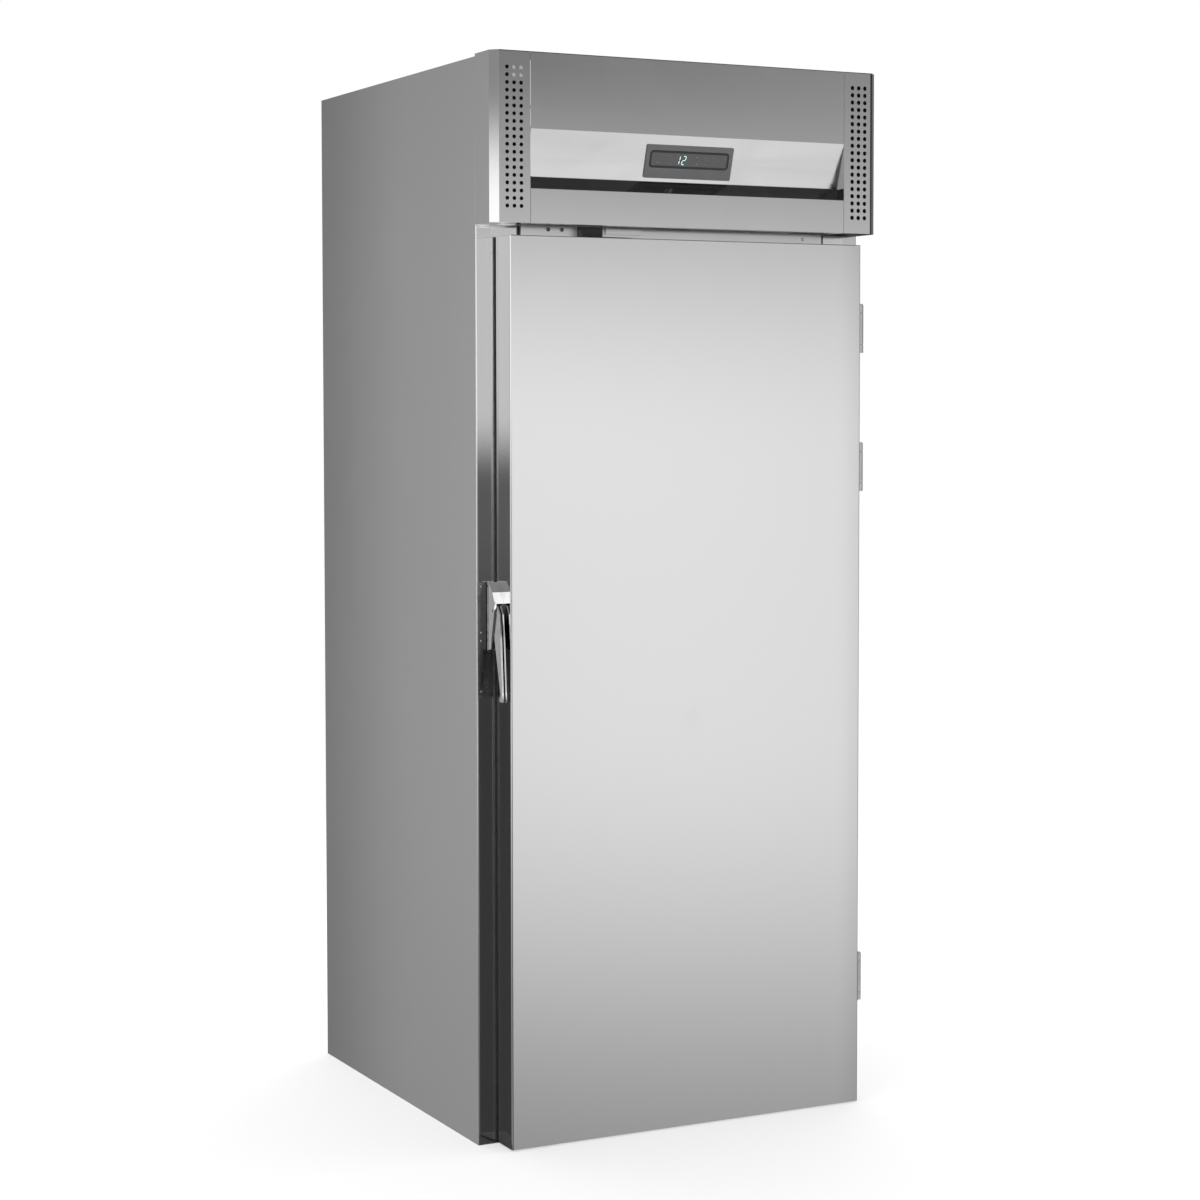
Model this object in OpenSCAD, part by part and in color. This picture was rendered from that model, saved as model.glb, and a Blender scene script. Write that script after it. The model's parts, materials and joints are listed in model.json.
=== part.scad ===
// Roll-in chiller: a tall insulated stainless cabinet that a trolley rolls straight into.
// One right-hinged door covers the front and reaches almost to the floor, and a projecting hood
// above it hides the refrigeration unit. Millimetres, +Z up, front towards -Y, origin on the floor
// under the centre of the whole box.

/* [Cabinet] */
// Width over the side panels
cab_w = 880; // [780:5:1000]
// Depth of the carcass without the hood and door
cab_d = 820; // [760:5:1000]
// Height to the top of the hood
cab_h = 2150; // [2080:5:2300]
// Height of the hood, from the insulated roof up
hood_h = 330; // [300:5:360]
// How far the side panels end below the top of the hood
side_drop = 5; // [0:1:12]
// Thickness of the insulated side and back walls
wall_t = 60; // [50:1:75]
// Thickness of the insulated roof
roof_t = 55; // [45:1:70]
// Thickness of the outer stainless sheet
skin_t = 1; // [0.8:0.1:1.5]
// Width of the side panel's folded front edge
stile_w = 33; // [24:1:38]
// How far the back panel sits in from the rear edge
back_inset = 14; // [10:1:20]
// Height of the base rails under the walls
base_h = 12; // [8:1:20]
// Thickness of the floor pan
floor_t = 4; // [3:0.5:6]
// Height of the machine compartment's rear grille above the deck
grille_h = 290; // [240:5:310]

/* [Door] */
// Margin of bare frame left of the door
door_gap_left = 40.5; // [36:0.5:50]
// Margin right of the door, where the hinges sit
door_gap_right = 35; // [32:0.5:42]
// Gap between the door's top and the hood
door_gap_top = 23; // [20:1:30]
// Gap under the door
door_gap_floor = 3; // [2:0.5:8]
// Thickness of the door without its gasket
door_t = 63; // [56:1:68]
// Depth of the gasket between door and frame
gasket_t = 8; // [6:0.5:10]
// Width of the gasket
gasket_w = 14; // [10:1:18]
// Radius of the door's folded vertical edges
door_edge_r = 3; // [2:0.5:5]

/* [Hinges] */
// Height of one hinge
hinge_h = 100; // [80:2:120]
// Height of each end knuckle
knuckle_h = 17.5; // [14:0.5:22]
// Radius of the knuckles
knuckle_r = 8; // [7:0.5:9]
// Radius of the hinge pin
hinge_pin_r = 4; // [3:0.25:5]
// Distance of the hinge axis in front of the frame
hinge_out = 44; // [40:1:50]
// Distance of the hinge axis from the cabinet's right side
hinge_in = 20; // [18:0.5:22]
// Distance of the top hinge's centre from the door's top
hinge_top = 172; // [120:1:260]
// Distance between the two upper hinges
hinge_pair = 288; // [200:1:400]
// Distance of the bottom hinge's centre from the door's foot
hinge_foot = 259; // [150:1:400]

/* [Latch] */
// Height of the latch pivot
latch_z = 1066; // [900:1:1150]
// Width of the latch body, which stands off the door's left edge
latch_w = 20.5; // [18:0.5:24]
// Depth of the latch body in front of the frame
latch_out = 40; // [34:1:44]
// Width of the lever
lever_w = 9.5; // [8:0.5:11]
// Distance from the pivot down to the lever's tip
lever_l = 178; // [150:1:200]
// Radius of the lever's pivot pin
latch_pin_r = 3; // [2.5:0.25:3.5]
// Height of the strike plate on the frame
strike_h = 227; // [200:1:240]
// Thickness of the strike plate
strike_t = 2.5; // [2:0.5:3]

/* [Hood] */
// How far the hood stands in front of the carcass
hood_out = 79; // [74:1:95]
// Width of each perforated end panel
hood_end_w = 81.5; // [74:0.5:90]
// Width of the chamfer on the hood's vertical corners
hood_chamfer = 14.5; // [8:0.5:16]
// Thickness of the hood's sheet
hood_t = 1.5; // [1:0.1:2]
// Height of the plain upper face
hood_upper_h = 148; // [120:1:160]
// Height of the sloping display face
hood_slope_h = 91; // [80:1:100]
// Height of the dark glossy band under it
hood_band_h = 24; // [18:1:30]
// How deep the sloping face runs in at its lower edge
hood_recess = 27; // [20:1:34]
// Gap round the service flap
flap_gap = 1; // [0.6:0.1:2]
// Radius of the service flap's hinge pins
flap_pin_r = 4; // [3:0.25:5]
// Radius of the round air holes
vent_r = 3.2; // [2.5:0.1:4]
// Distance between air holes across
vent_dx = 15.1; // [12:0.1:16]
// Distance between air holes up the panel
vent_dz = 14.76; // [12:0.02:15]
// Number of rows of air holes
vent_rows = 19; // [10:1:19]
// Number of columns of air holes
vent_cols = 3; // [2:1:3]

/* [Display] */
// Width of the display's bezel
bezel_w = 198; // [160:1:220]
// Height of the bezel along the sloping face
bezel_h = 67; // [50:1:72]
// Width of the dark window
window_w = 181; // [140:1:190]
// Height of the dark window
window_h = 35; // [26:1:40]
// Distance of the window's top from the bezel's top
window_drop = 11; // [6:0.5:14]

/* [Refrigeration] */
// Depth of the evaporator's cover in front of the back wall
evap_d = 95; // [85:1:120]
// Width of the evaporator's cover
evap_w = 660; // [560:5:700]
// Height of the evaporator's cover
evap_h = 700; // [600:5:800]
// Radius of the evaporator's fan openings
evap_fan_r = 86; // [70:1:95]
// Width of the tray under the condensing unit
unit_w = 630; // [600:5:680]
// Depth of the tray
unit_d = 438; // [420:2:520]
// Radius of the condenser's fan
cond_fan_r = 112; // [90:1:118]
// Radius of the compressor's shell
comp_r = 88; // [70:1:95]
// Height of the compressor's shell
comp_h = 200; // [160:5:220]
// Radius of the fan shafts
shaft_r = 4; // [3:0.25:5]

/* [Hidden] */
$fn = 48;
// Running clearance of pins and shafts
run = 0.05;
// Small clearance between a moving face and its neighbour
clear = 0.3;
hw = cab_w / 2;
roof_z = cab_h - hood_h;
yf = -(cab_d + hood_out) / 2 + hood_out;
y0 = yf - hood_out;
yb = yf + cab_d;
side_top = cab_h - side_drop;
in_x = hw - wall_t;
open_z = roof_z - roof_t;
back_in = yb - wall_t;
back_face = yb - back_inset;
liner_t = 1;
// Joint line left between lengths of facing and rail that butt together
seam = 0.2;
// Door in the same frame
dx0 = -hw + door_gap_left;
dx1 = hw - door_gap_right;
dy1 = yf - gasket_t;
dy0 = dy1 - door_t;
dz0 = door_gap_floor;
dz1 = roof_z - door_gap_top;
// Hinge axis, and the heights of the three hinge centres
hinge_z = [dz0 + hinge_foot, dz1 - hinge_top - hinge_pair, dz1 - hinge_top];
hx = hw - hinge_in;
hy = yf - hinge_out;
// Latch pivot and body
lat_x0 = dx0 - latch_w;
lat_mid = dx0 - latch_w / 2;
lat_y = yf - 30;
// Hood heights
slope_top = cab_h - hood_upper_h;
slope_bot = slope_top - hood_slope_h;
band_bot = slope_bot - hood_band_h;
slope_a = atan(hood_recess / hood_slope_h);
slope_len = sqrt(hood_recess * hood_recess + hood_slope_h * hood_slope_h);
flap_x = hw - hood_end_w - flap_gap;
flap_ax_y = y0 + 20;
flap_ax_z = cab_h - 8;
deck_t = 2;
deck_z = roof_z + deck_t;
evap_top = open_z - 5;
evap_y = back_in - evap_d;
evap_fan_x = evap_w / 4;
evap_fan_z = evap_top - 20 - evap_fan_r;
sheet = 1.2;
// Condensing unit, standing on the deck
base_x = 40;
cond_y = yf + 40;
cond_d = 44;
cond_w = 300;
cond_z = deck_z + 30;
cond_h = 250;
fan_z = cond_z + cond_h / 2;
fan_x = base_x;
shroud_y = cond_y + cond_d;
shroud_d = 34;
unit_x = [-unit_w / 2 - 15, unit_w / 2 - 15];
unit_y = [yf + 22, yf + 22 + unit_d];
comp_x = unit_x[0] + comp_r + 32;
comp_y = unit_y[1] - comp_r - 42;
comp_foot = 18;
pipe_r = 5;
pipe_x = 250;
rail_z = [320, 900, 1450];

steel = [0.66, 0.67, 0.68];
steel_dark = [0.45, 0.46, 0.47];
black = [0.07, 0.07, 0.08];
foam_c = [0.93, 0.86, 0.62];

module slab(x, y, z) {
    translate([x[0], y[0], z[0]]) cube([x[1] - x[0], y[1] - y[0], z[1] - z[0]]);
}
module rod_x(p, r, l) { translate(p) rotate([0, 90, 0]) cylinder(r = r, h = l); }
module rod_y(p, r, l) { translate(p) rotate([-90, 0, 0]) cylinder(r = r, h = l); }
module rod_z(p, r, l) { translate(p) cylinder(r = r, h = l); }
// A profile given as [y, z] points, extruded along X between two places
module along_x(x, pts) {
    translate([x[0], 0, 0]) rotate([90, 0, 90]) linear_extrude(x[1] - x[0]) polygon(pts);
}

// Outer side skin with a rounded front corner, a folded front stile and a folded rear edge.
// Drawn for the left side in plan, then stood up.
skin_r = 3;
module side_skin(h) {
    linear_extrude(h) {
        translate([-hw, yf + skin_r]) square([skin_t, cab_d - skin_r]);
        translate([-hw + skin_r, yf]) square([stile_w - skin_r, skin_t]);
        translate([-hw, yb - skin_t]) square([stile_w, skin_t]);
        intersection() {
            translate([-hw, yf]) square([skin_r, skin_r]);
            difference() {
                translate([-hw + skin_r, yf + skin_r]) circle(skin_r);
                translate([-hw + skin_r, yf + skin_r]) circle(skin_r - skin_t);
            }
        }
    }
}

// What fills both side walls between two heights, clear of the skin's rounded corner
module wall_fill(z) {
    for (m = [0, 1]) mirror([m, 0, 0]) {
        slab([-hw + skin_t, -in_x - liner_t], [yf + skin_r, back_face], z);
        slab([-hw + skin_r, -in_x - liner_t], [yf + sheet, yf + skin_r], z);
    }
}

module side_panel_left() {
    color(steel) side_skin(side_top);
}

module side_panel_right() {
    color(steel) mirror([1, 0, 0]) side_skin(side_top);
}

// Rear sheet, sunk between the folded rear edges of the side panels
module back_panel() {
    color(steel) difference() {
        slab([-hw + skin_t, hw - skin_t], [back_face, back_face + skin_t], [0, roof_z]);
        rod_y([0, back_face - 1, evap_drain_z()], drain_r + clear, skin_t + 2);
    }
}

// Polyurethane cores of the four insulated walls
module foam_sides() {
    color(foam_c) wall_fill([base_h, roof_z]);
}

module foam_back() {
    color(foam_c) difference() {
        slab([-in_x - liner_t, in_x + liner_t], [back_in + liner_t, back_face], [base_h, roof_z]);
        rod_y([0, back_in, evap_drain_z()], drain_r + clear, wall_t);
    }
}

module foam_roof() {
    color(foam_c) difference() {
        slab([-in_x - liner_t, in_x + liner_t], [yf + sheet, back_in + liner_t],
            [open_z + liner_t, roof_z]);
        pipe_holes();
    }
}

// Inner stainless sheets
module liner_sides() {
    color(steel) for (m = [0, 1]) mirror([m, 0, 0]) slab(
        [-in_x - liner_t, -in_x], [yf + breaker_d, back_in], [0, open_z]);
}

module liner_back() {
    color(steel) difference() {
        slab([-in_x - liner_t, in_x + liner_t], [back_in, back_in + liner_t], [0, open_z + liner_t]);
        rod_y([0, back_in - 1, evap_drain_z()], drain_r + clear, 3);
    }
}

module liner_ceiling() {
    color(steel) difference() {
        slab([-in_x - liner_t, in_x + liner_t], [yf + breaker_d, back_in], [open_z, open_z + liner_t]);
        pipe_holes();
    }
}

// Stainless facing of the door opening: two posts and the top rail
module front_frame() {
    color(steel) {
        for (m = [0, 1]) mirror([m, 0, 0])
            slab([-hw + stile_w, -in_x], [yf, yf + sheet], [0, open_z - seam]);
        slab([-hw + stile_w, hw - stile_w], [yf, yf + sheet], [open_z, roof_z]);
    }
}

// Plastic strip that lines the edge of the opening between the facing and the inner sheets
breaker_d = 36;
module breaker_strip() {
    color(black) {
        for (m = [0, 1]) mirror([m, 0, 0])
            slab([-in_x - liner_t, -in_x], [yf + sheet, yf + breaker_d], [0, open_z - seam]);
        slab([-in_x - liner_t, in_x + liner_t], [yf + sheet, yf + breaker_d],
            [open_z, open_z + liner_t]);
    }
}

// Rails under the insulated walls, standing on the floor
module base_rails() {
    color(steel_dark) {
        wall_fill([0, base_h]);
        slab([-in_x - liner_t + seam, in_x + liner_t - seam], [back_in + liner_t, back_face],
            [0, base_h]);
    }
}

// Thin stainless tray that the trolley stands on
module floor_pan() {
    color(steel) slab([-in_x, in_x], [yf + ramp_d, back_in], [0, floor_t]);
}

// Shallow wedge that brings the trolley's wheels up onto the pan
ramp_d = 60;
ramp_nose = 1.5;
module entry_ramp() {
    color(steel_dark) along_x([-in_x, in_x], [
        [yf, 0], [yf + ramp_d, 0], [yf + ramp_d, floor_t], [yf, ramp_nose]]);
}

// Plate over the roof insulation that carries the refrigeration unit
module machine_deck() {
    color(steel_dark) difference() {
        slab([-hw + skin_t, hw - skin_t], [yf + skin_r, back_face + skin_t], [roof_z, deck_z]);
        pipe_holes();
    }
}

// Flat rails on the side walls that keep the trolley off the sheet
rail_out = 14;
rail_h = 60;
rail_len = 560;
module bumper_rails() {
    color(steel) for (m = [0, 1], z = rail_z) mirror([m, 0, 0]) {
        slab([-in_x + rail_out - 2, -in_x + rail_out], [-rail_len / 2, rail_len / 2], [z, z + rail_h]);
        for (y = [-rail_len / 2, rail_len / 2 - 30])
            slab([-in_x, -in_x + rail_out - 2], [y, y + 30], [z + 10, z + rail_h - 10]);
    }
}

// Evaporator behind its cover on the back wall: fans above, louvres below
drain_r = 9;
function evap_drain_z() = evap_top - evap_h + 60;
module fan_holes(r) {
    for (x = [-evap_fan_x, evap_fan_x]) rod_y([x, evap_y - 1, evap_fan_z], r, sheet + 2);
}

module evaporator_cover() {
    z0 = evap_top - evap_h;
    color(steel) difference() {
        slab([-evap_w / 2, evap_w / 2], [evap_y, back_in], [z0, evap_top]);
        slab([-evap_w / 2 + sheet, evap_w / 2 - sheet], [evap_y + sheet, back_in + 1],
            [z0 - 1, evap_top - sheet]);
        fan_holes(evap_fan_r);
        for (i = [0 : 7], x = [-evap_w / 4, evap_w / 4])
            slab([x - evap_w / 6, x + evap_w / 6], [evap_y - 1, evap_y + sheet + 1],
                [z0 + 90 + i * 26, z0 + 100 + i * 26]);
        for (x = [-pipe_x, pipe_x]) rod_z([x, back_in - evap_d / 2, evap_top - 2 * sheet],
            pipe_r + 6, 3 * sheet);
    }
}

coil_t = 42;
fin_pitch = 13;
fin_t = 1;
coil_w = 460;
module evaporator_coil() {
    z0 = evap_drain_z() + 30;
    z1 = evap_top - 30;
    y1 = back_in - 3;
    color([0.75, 0.76, 0.78]) {
        slab([-coil_w / 2, coil_w / 2], [y1 - coil_t + 4, y1 - 4], [z0, z1]);
        for (x = [-coil_w / 2, coil_w / 2 - 2]) slab([x, x + 2], [y1 - coil_t, y1 + 3], [z0 - 10, z1]);
        for (x = [-coil_w / 2 + 10 : fin_pitch : coil_w / 2 - 8])
            slab([x, x + fin_t], [y1 - coil_t, y1], [z0, z1]);
    }
}

// Moulded frame of each evaporator fan: flange, guard rings and the motor held on four arms
module fan_frame(x) {
    c = [x, evap_y, evap_fan_z];
    color(black) {
        difference() {
            rod_y(c - [0, 6, 0], evap_fan_r + 6, 6);
            rod_y(c - [0, 7, 0], evap_fan_r - 3, 8);
        }
        for (r = [34 : 14 : evap_fan_r - 8]) difference() {
            rod_y(c - [0, 4.4, 0], r + 1.2, 1.6);
            rod_y(c - [0, 6, 0], r - 1.2, 4.4);
        }
        for (a = [0 : 90 : 270]) translate(c) rotate([0, a + 45, 0])
            slab([18, evap_fan_r - 1], [-5.2, -2.2], [-1.5, 1.5]);
        rod_y(c - [0, 5.6, 0], 22, 5.6);
    }
    color(steel_dark) rod_y(c - [0, 2, 0], shaft_r, 36);
}

module evaporator_fan_frames() {
    for (x = [-evap_fan_x, evap_fan_x]) fan_frame(x);
}

// A fan: hub bored for the shaft, with five pitched blades
module fan(c, r, hub, depth, blades) {
    difference() {
        union() {
            rod_y(c, hub, depth);
            for (a = [0 : 360 / blades : 359]) translate(c + [0, depth / 2, 0]) rotate([0, a, 0])
                translate([hub - 2, 0, 0]) rotate([28, 0, 0])
                    slab([0, r - hub + 2], [-0.9, 0.9], [-r * 0.24, r * 0.24]);
        }
        rod_y(c - [0, 1, 0], shaft_r + run, depth + 2);
    }
}

module evaporator_fan_left() {
    color(steel_dark) fan([-evap_fan_x, evap_y + 5, evap_fan_z], evap_fan_r - 7, 20, 24, 5);
}

module evaporator_fan_right() {
    color(steel_dark) fan([evap_fan_x, evap_y + 5, evap_fan_z], evap_fan_r - 7, 20, 24, 5);
}

// Tray that catches the melt water under the coil, with its outlet in the middle
module drain_pan() {
    z0 = evap_drain_z();
    w = coil_w / 2 + 20;
    color(steel) difference() {
        slab([-w, w], [back_in - coil_t - 20, back_in], [z0 - drain_r - 4, z0 + 19]);
        slab([-w + 2, w - 2], [back_in - coil_t - 18, back_in - 2], [z0 - drain_r - 2, z0 + 20]);
        rod_y([0, back_in - 3, z0], drain_r + 0.02, 4);
    }
}

module drain_tube() {
    color(black) difference() {
        rod_y([0, back_in - 6, evap_drain_z()], drain_r, wall_t - 2 + 6);
        rod_y([0, back_in - 7, evap_drain_z()], drain_r - 2, wall_t + 8);
    }
}

// Ceiling light behind the door opening
lamp_y = yf + 90;
lamp_w = 420;
lamp_d = 46;
lens_in = [15, 8];
module lamp_housing() {
    color(steel_dark) slab([-lamp_w / 2, lamp_w / 2], [lamp_y, lamp_y + lamp_d],
        [open_z - 12, open_z]);
}

module lamp_lens() {
    color([0.95, 0.96, 1, 0.8]) slab([-lamp_w / 2 + lens_in[0], lamp_w / 2 - lens_in[0]],
        [lamp_y + lens_in[1], lamp_y + lamp_d - lens_in[1]], [open_z - 20, open_z - 12]);
}

module pipe_holes() {
    for (x = [-pipe_x, pipe_x])
        rod_z([x, back_in - evap_d / 2, open_z - 1], pipe_r + 1, roof_t + deck_t + 2);
}

// Tray that the compressor, receiver and condenser are bolted to
unit_t = 2;
unit_lip = 20;
unit_z = deck_z + unit_t;
module unit_base() {
    color(steel_dark) difference() {
        slab(unit_x, unit_y, [deck_z, deck_z + unit_lip]);
        slab([unit_x[0] + unit_t, unit_x[1] - unit_t], [unit_y[0] + unit_t, unit_y[1] - unit_t],
            [unit_z, deck_z + unit_lip + 1]);
    }
}

// Hermetic compressor: welded shell on four rubber-footed legs
module compressor() {
    color([0.1, 0.1, 0.11]) {
        translate([comp_x, comp_y, unit_z + comp_foot]) rotate_extrude($fn = 64) polygon(concat(
            [[0, 0]],
            [for (a = [-90 : 18 : 0]) [comp_r - 22 + 22 * cos(a), 22 + 22 * sin(a)]],
            [for (a = [0 : 15 : 90]) [comp_r - 45 + 45 * cos(a), comp_h - 45 + 45 * sin(a)]],
            [[0, comp_h]]));
        for (a = [45 : 90 : 315]) translate([comp_x, comp_y, unit_z]) rotate([0, 0, a]) {
            slab([comp_r - 20, comp_r + 32], [-14, 14], [comp_foot, comp_foot + 4]);
            rod_z([comp_r + 18, 0, 0], 12, comp_foot);
        }
        translate([comp_x, comp_y - comp_r + 4, unit_z + 90]) slab([-32, 32], [-34, 0], [0, 60]);
    }
}

// Finned condenser coil that stands behind the service flap
module condenser_coil() {
    x0 = fan_x - cond_w / 2;
    color([0.62, 0.5, 0.38]) {
        slab([x0 + 2, x0 + cond_w - 2], [cond_y + 5, shroud_y - 5], [cond_z, cond_z + cond_h]);
        for (x = [x0, x0 + cond_w - 2]) slab([x, x + 2], [cond_y, shroud_y], [unit_z, cond_z + cond_h]);
        for (x = [x0 + 6 : fin_pitch : x0 + cond_w - 6]) slab([x, x + fin_t], [cond_y, shroud_y],
            [cond_z, cond_z + cond_h]);
        slab([x0, x0 + cond_w], [cond_y + 5, shroud_y - 5], [cond_z - 2, cond_z]);
    }
}

module condenser_shroud() {
    x0 = fan_x - cond_w / 2;
    color(black) difference() {
        slab([x0, x0 + cond_w], [shroud_y, shroud_y + shroud_d], [unit_z, cond_z + cond_h]);
        slab([x0 + 2, x0 + cond_w - 2], [shroud_y - 1, shroud_y + shroud_d - 2],
            [cond_z, cond_z + cond_h - 2]);
        rod_y([fan_x, shroud_y + shroud_d - 3, fan_z], cond_fan_r + 3, 4);
    }
}

// Shaded-pole motor held behind the shroud by four legs
module condenser_fan_motor() {
    y1 = shroud_y + shroud_d;
    color(steel_dark) {
        rod_y([fan_x, y1 + 22, fan_z], 32, 50);
        rod_y([fan_x, y1 - 26, fan_z], shaft_r, 48);
        for (a = [45 : 90 : 315]) translate([fan_x, 0, fan_z]) rotate([0, a, 0]) {
            slab([0, cond_fan_r + 16], [y1 + 30, y1 + 33], [-7, 7]);
            slab([cond_fan_r + 6, cond_fan_r + 16], [y1, y1 + 30], [-7, 7]);
        }
    }
}

module condenser_fan() {
    color(steel_dark) fan([fan_x, shroud_y + shroud_d - 22, fan_z], cond_fan_r, 24, 18, 5);
}

// Upright liquid receiver with the filter drier beside it
rec_x = unit_x[1] - 100;
rec_y = unit_y[1] - 160;
rec_r = 38;
rec_h = 170;
module liquid_receiver() {
    color([0.1, 0.1, 0.11]) {
        rod_z([rec_x, rec_y, unit_z], rec_r, rec_h);
        rod_z([rec_x, rec_y, unit_z + rec_h], rec_r - 12, 10);
        translate([rec_x - rec_r - 6, rec_y + rec_r + 20, unit_z]) slab([-8, 8], [-8, 8], [0, 60]);
        rod_z([rec_x - rec_r - 6, rec_y + rec_r + 20, unit_z + 60], 17, 90);
    }
}

// Copper pipes: down to the evaporator, and between compressor, condenser and receiver
module pipe(pts) {
    for (i = [0 : len(pts) - 2]) {
        d = pts[i + 1] - pts[i];
        l = norm(d);
        translate(pts[i]) rotate([0, acos(d[2] / l), atan2(d[1], d[0])]) cylinder(r = pipe_r, h = l);
        if (i > 0) translate(pts[i]) sphere(pipe_r);
    }
}

module refrigerant_pipes() {
    py = back_in - evap_d / 2;
    coil_top = evap_top - 60;
    comp_top = unit_z + comp_foot + comp_h;
    top = comp_top + 12;
    cond_mid = cond_y + cond_d / 2;
    inlet = cond_z + cond_h - 50;
    outlet = cond_z + 30;
    color([0.72, 0.42, 0.27]) {
        pipe([[comp_x + 30, comp_y, comp_top], [comp_x + 30, comp_y, top],
            [comp_x + 30, py, top], [-pipe_x, py, top], [-pipe_x, py, coil_top],
            [-coil_w / 2, py, coil_top]]);
        pipe([[rec_x - rec_r - 6, rec_y + rec_r + 20, unit_z + 150],
            [rec_x - rec_r - 6, rec_y + rec_r + 20, top], [pipe_x, rec_y + rec_r + 20, top],
            [pipe_x, py, top], [pipe_x, py, coil_top], [coil_w / 2, py, coil_top]]);
        pipe([[comp_x - 30, comp_y, comp_top], [comp_x - 30, comp_y, top + 20],
            [comp_x - 30, cond_mid, top + 20], [comp_x + 60, cond_mid, top + 20],
            [comp_x + 60, cond_mid, inlet], [fan_x - cond_w / 2, cond_mid, inlet]]);
        pipe([[fan_x + cond_w / 2, cond_mid, outlet], [rec_x + 60, cond_mid, outlet],
            [rec_x + 60, rec_y, outlet], [rec_x + rec_r, rec_y, outlet]]);
    }
}

// Wiring box on the deck, left of the condensing unit
box_d = 200;
box_h = 240;
box_y = [yf + 60, yf + 60 + box_d];
module electrical_box() {
    color([0.8, 0.8, 0.81]) slab([-hw + skin_t + 2, unit_x[0] - 4], box_y, [deck_z, deck_z + box_h]);
}

// Rear screen of the machine compartment, with rows of slots
gland_x = -hw + 140;
gland_z = deck_z + 60;
gland_r = 11;
module rear_grille() {
    color(steel) difference() {
        slab([-hw + skin_t, hw - skin_t], [back_face, back_face + skin_t], [deck_z, deck_z + grille_h]);
        for (i = [0 : 9], x = [-180, 0, 180])
            slab([x - 75, x + 75], [back_face - 1, back_face + skin_t + 1],
                [deck_z + 100 + i * 17, deck_z + 108 + i * 17]);
        rod_y([gland_x, back_face - 1, gland_z], gland_r + clear, skin_t + 2);
    }
}

// Cable gland: where the supply cord enters
module cable_gland() {
    color(black) difference() {
        union() {
            rod_y([gland_x, back_face - 12, gland_z], gland_r, 22);
            rod_y([gland_x, back_face + skin_t, gland_z], 15, 8, $fn = 6);
            rod_y([gland_x, back_face - 5, gland_z], 15, 5);
        }
        rod_y([gland_x, back_face - 13, gland_z], 5, 30);
    }
}

// Hood end panel: chamfered corner, side strip flush with the carcass, perforated face and an inner
// return beside the service flap. Drawn for the left, in plan, as a folded sheet.
module hood_end_plan() {
    c = hood_chamfer;
    t = hood_t;
    k = t * tan(22.5);
    x1 = -hw + hood_end_w;
    polygon([[-hw, yf], [-hw, y0 + c], [-hw + c, y0], [x1, y0], [x1, y0 + 42],
        [x1 - t, y0 + 42], [x1 - t, y0 + t], [-hw + c + k, y0 + t], [-hw + t, y0 + c + k],
        [-hw + t, yf]]);
}

vent_x0 = hood_end_w / 2 - 8.9 + (3 - vent_cols) * vent_dx / 2;
module hood_end() {
    zc = (roof_z + cab_h) / 2;
    difference() {
        union() {
            translate([0, 0, roof_z]) linear_extrude(cab_h - roof_z) hood_end_plan();
            for (z = [roof_z, cab_h - hood_t]) translate([0, 0, z]) linear_extrude(hood_t)
                polygon([[-hw + 1, yf], [-hw + 1, y0 + hood_chamfer], [-hw + hood_chamfer, y0 + 1],
                    [-hw + hood_end_w - 1, y0 + 1], [-hw + hood_end_w - 1, z > roof_z ? y0 + 14 : yf],
                    [-hw + 14, z > roof_z ? y0 + 14 : yf], [-hw + 14, yf]]);
        }
        for (i = [0 : vent_cols - 1], j = [0 : vent_rows - 1])
            rod_y([-hw + vent_x0 + i * vent_dx, y0 - 1, zc + (j - (vent_rows - 1) / 2) * vent_dz],
                vent_r, hood_t + 2, $fn = 24);
        rod_x([-hw + hood_end_w - 4, flap_ax_y, flap_ax_z], flap_pin_r + 0.02, 6);
    }
}

module hood_end_left() {
    color(steel) hood_end();
}

module hood_end_right() {
    color(steel) mirror([1, 0, 0]) hood_end();
}

// Angle brackets that hang each end panel on the front edge of the carcass, and the bright clip
// behind the upper left air holes
module hood_brackets() {
    color(steel) for (m = [0, 1]) mirror([m, 0, 0]) {
        slab([-hw + hood_t, -hw + hood_end_w - hood_t], [yf - 3, yf], [roof_z + 20, side_top - 60]);
        slab([-hw + hood_end_w - hood_t - 3, -hw + hood_end_w - hood_t], [y0 + 30, yf - 3],
            [roof_z + 20, side_top - 60]);
    }
    color(steel) slab([-hw + hood_end_w - 40, -hw + hood_end_w - hood_t],
        [y0 + hood_t, y0 + hood_t + 2], [cab_h - 54, cab_h - 20]);
}

// Pins that the service flap swings on, held in the end panels
module flap_pins() {
    color(steel_dark) for (m = [0, 1]) mirror([m, 0, 0])
        rod_x([-hw + hood_end_w - 6, flap_ax_y, flap_ax_z], flap_pin_r, 14);
}

// Service flap: one folded sheet across the hood, plain above, sloping for the display, then plain
// again below the dark band. It swings up about the pins near its top edge.
module flap_outline() {
    t = hood_t;
    y1 = y0 + hood_recess;
    polygon([[y0 + 12, cab_h], [y0, cab_h], [y0, slope_top], [y1, slope_bot],
        [y0 + band_t, band_bot], [y0, band_bot], [y0, roof_z], [y0 + 20, roof_z], [y0 + 20, roof_z + t],
        [y0 + t, roof_z + t], [y0 + t, band_bot - t], [y0 + band_t + t, band_bot - t],
        [y1 + t, slope_bot], [y0 + t, slope_top], [y0 + t, cab_h - t], [y0 + 12, cab_h - t]]);
}

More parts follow.
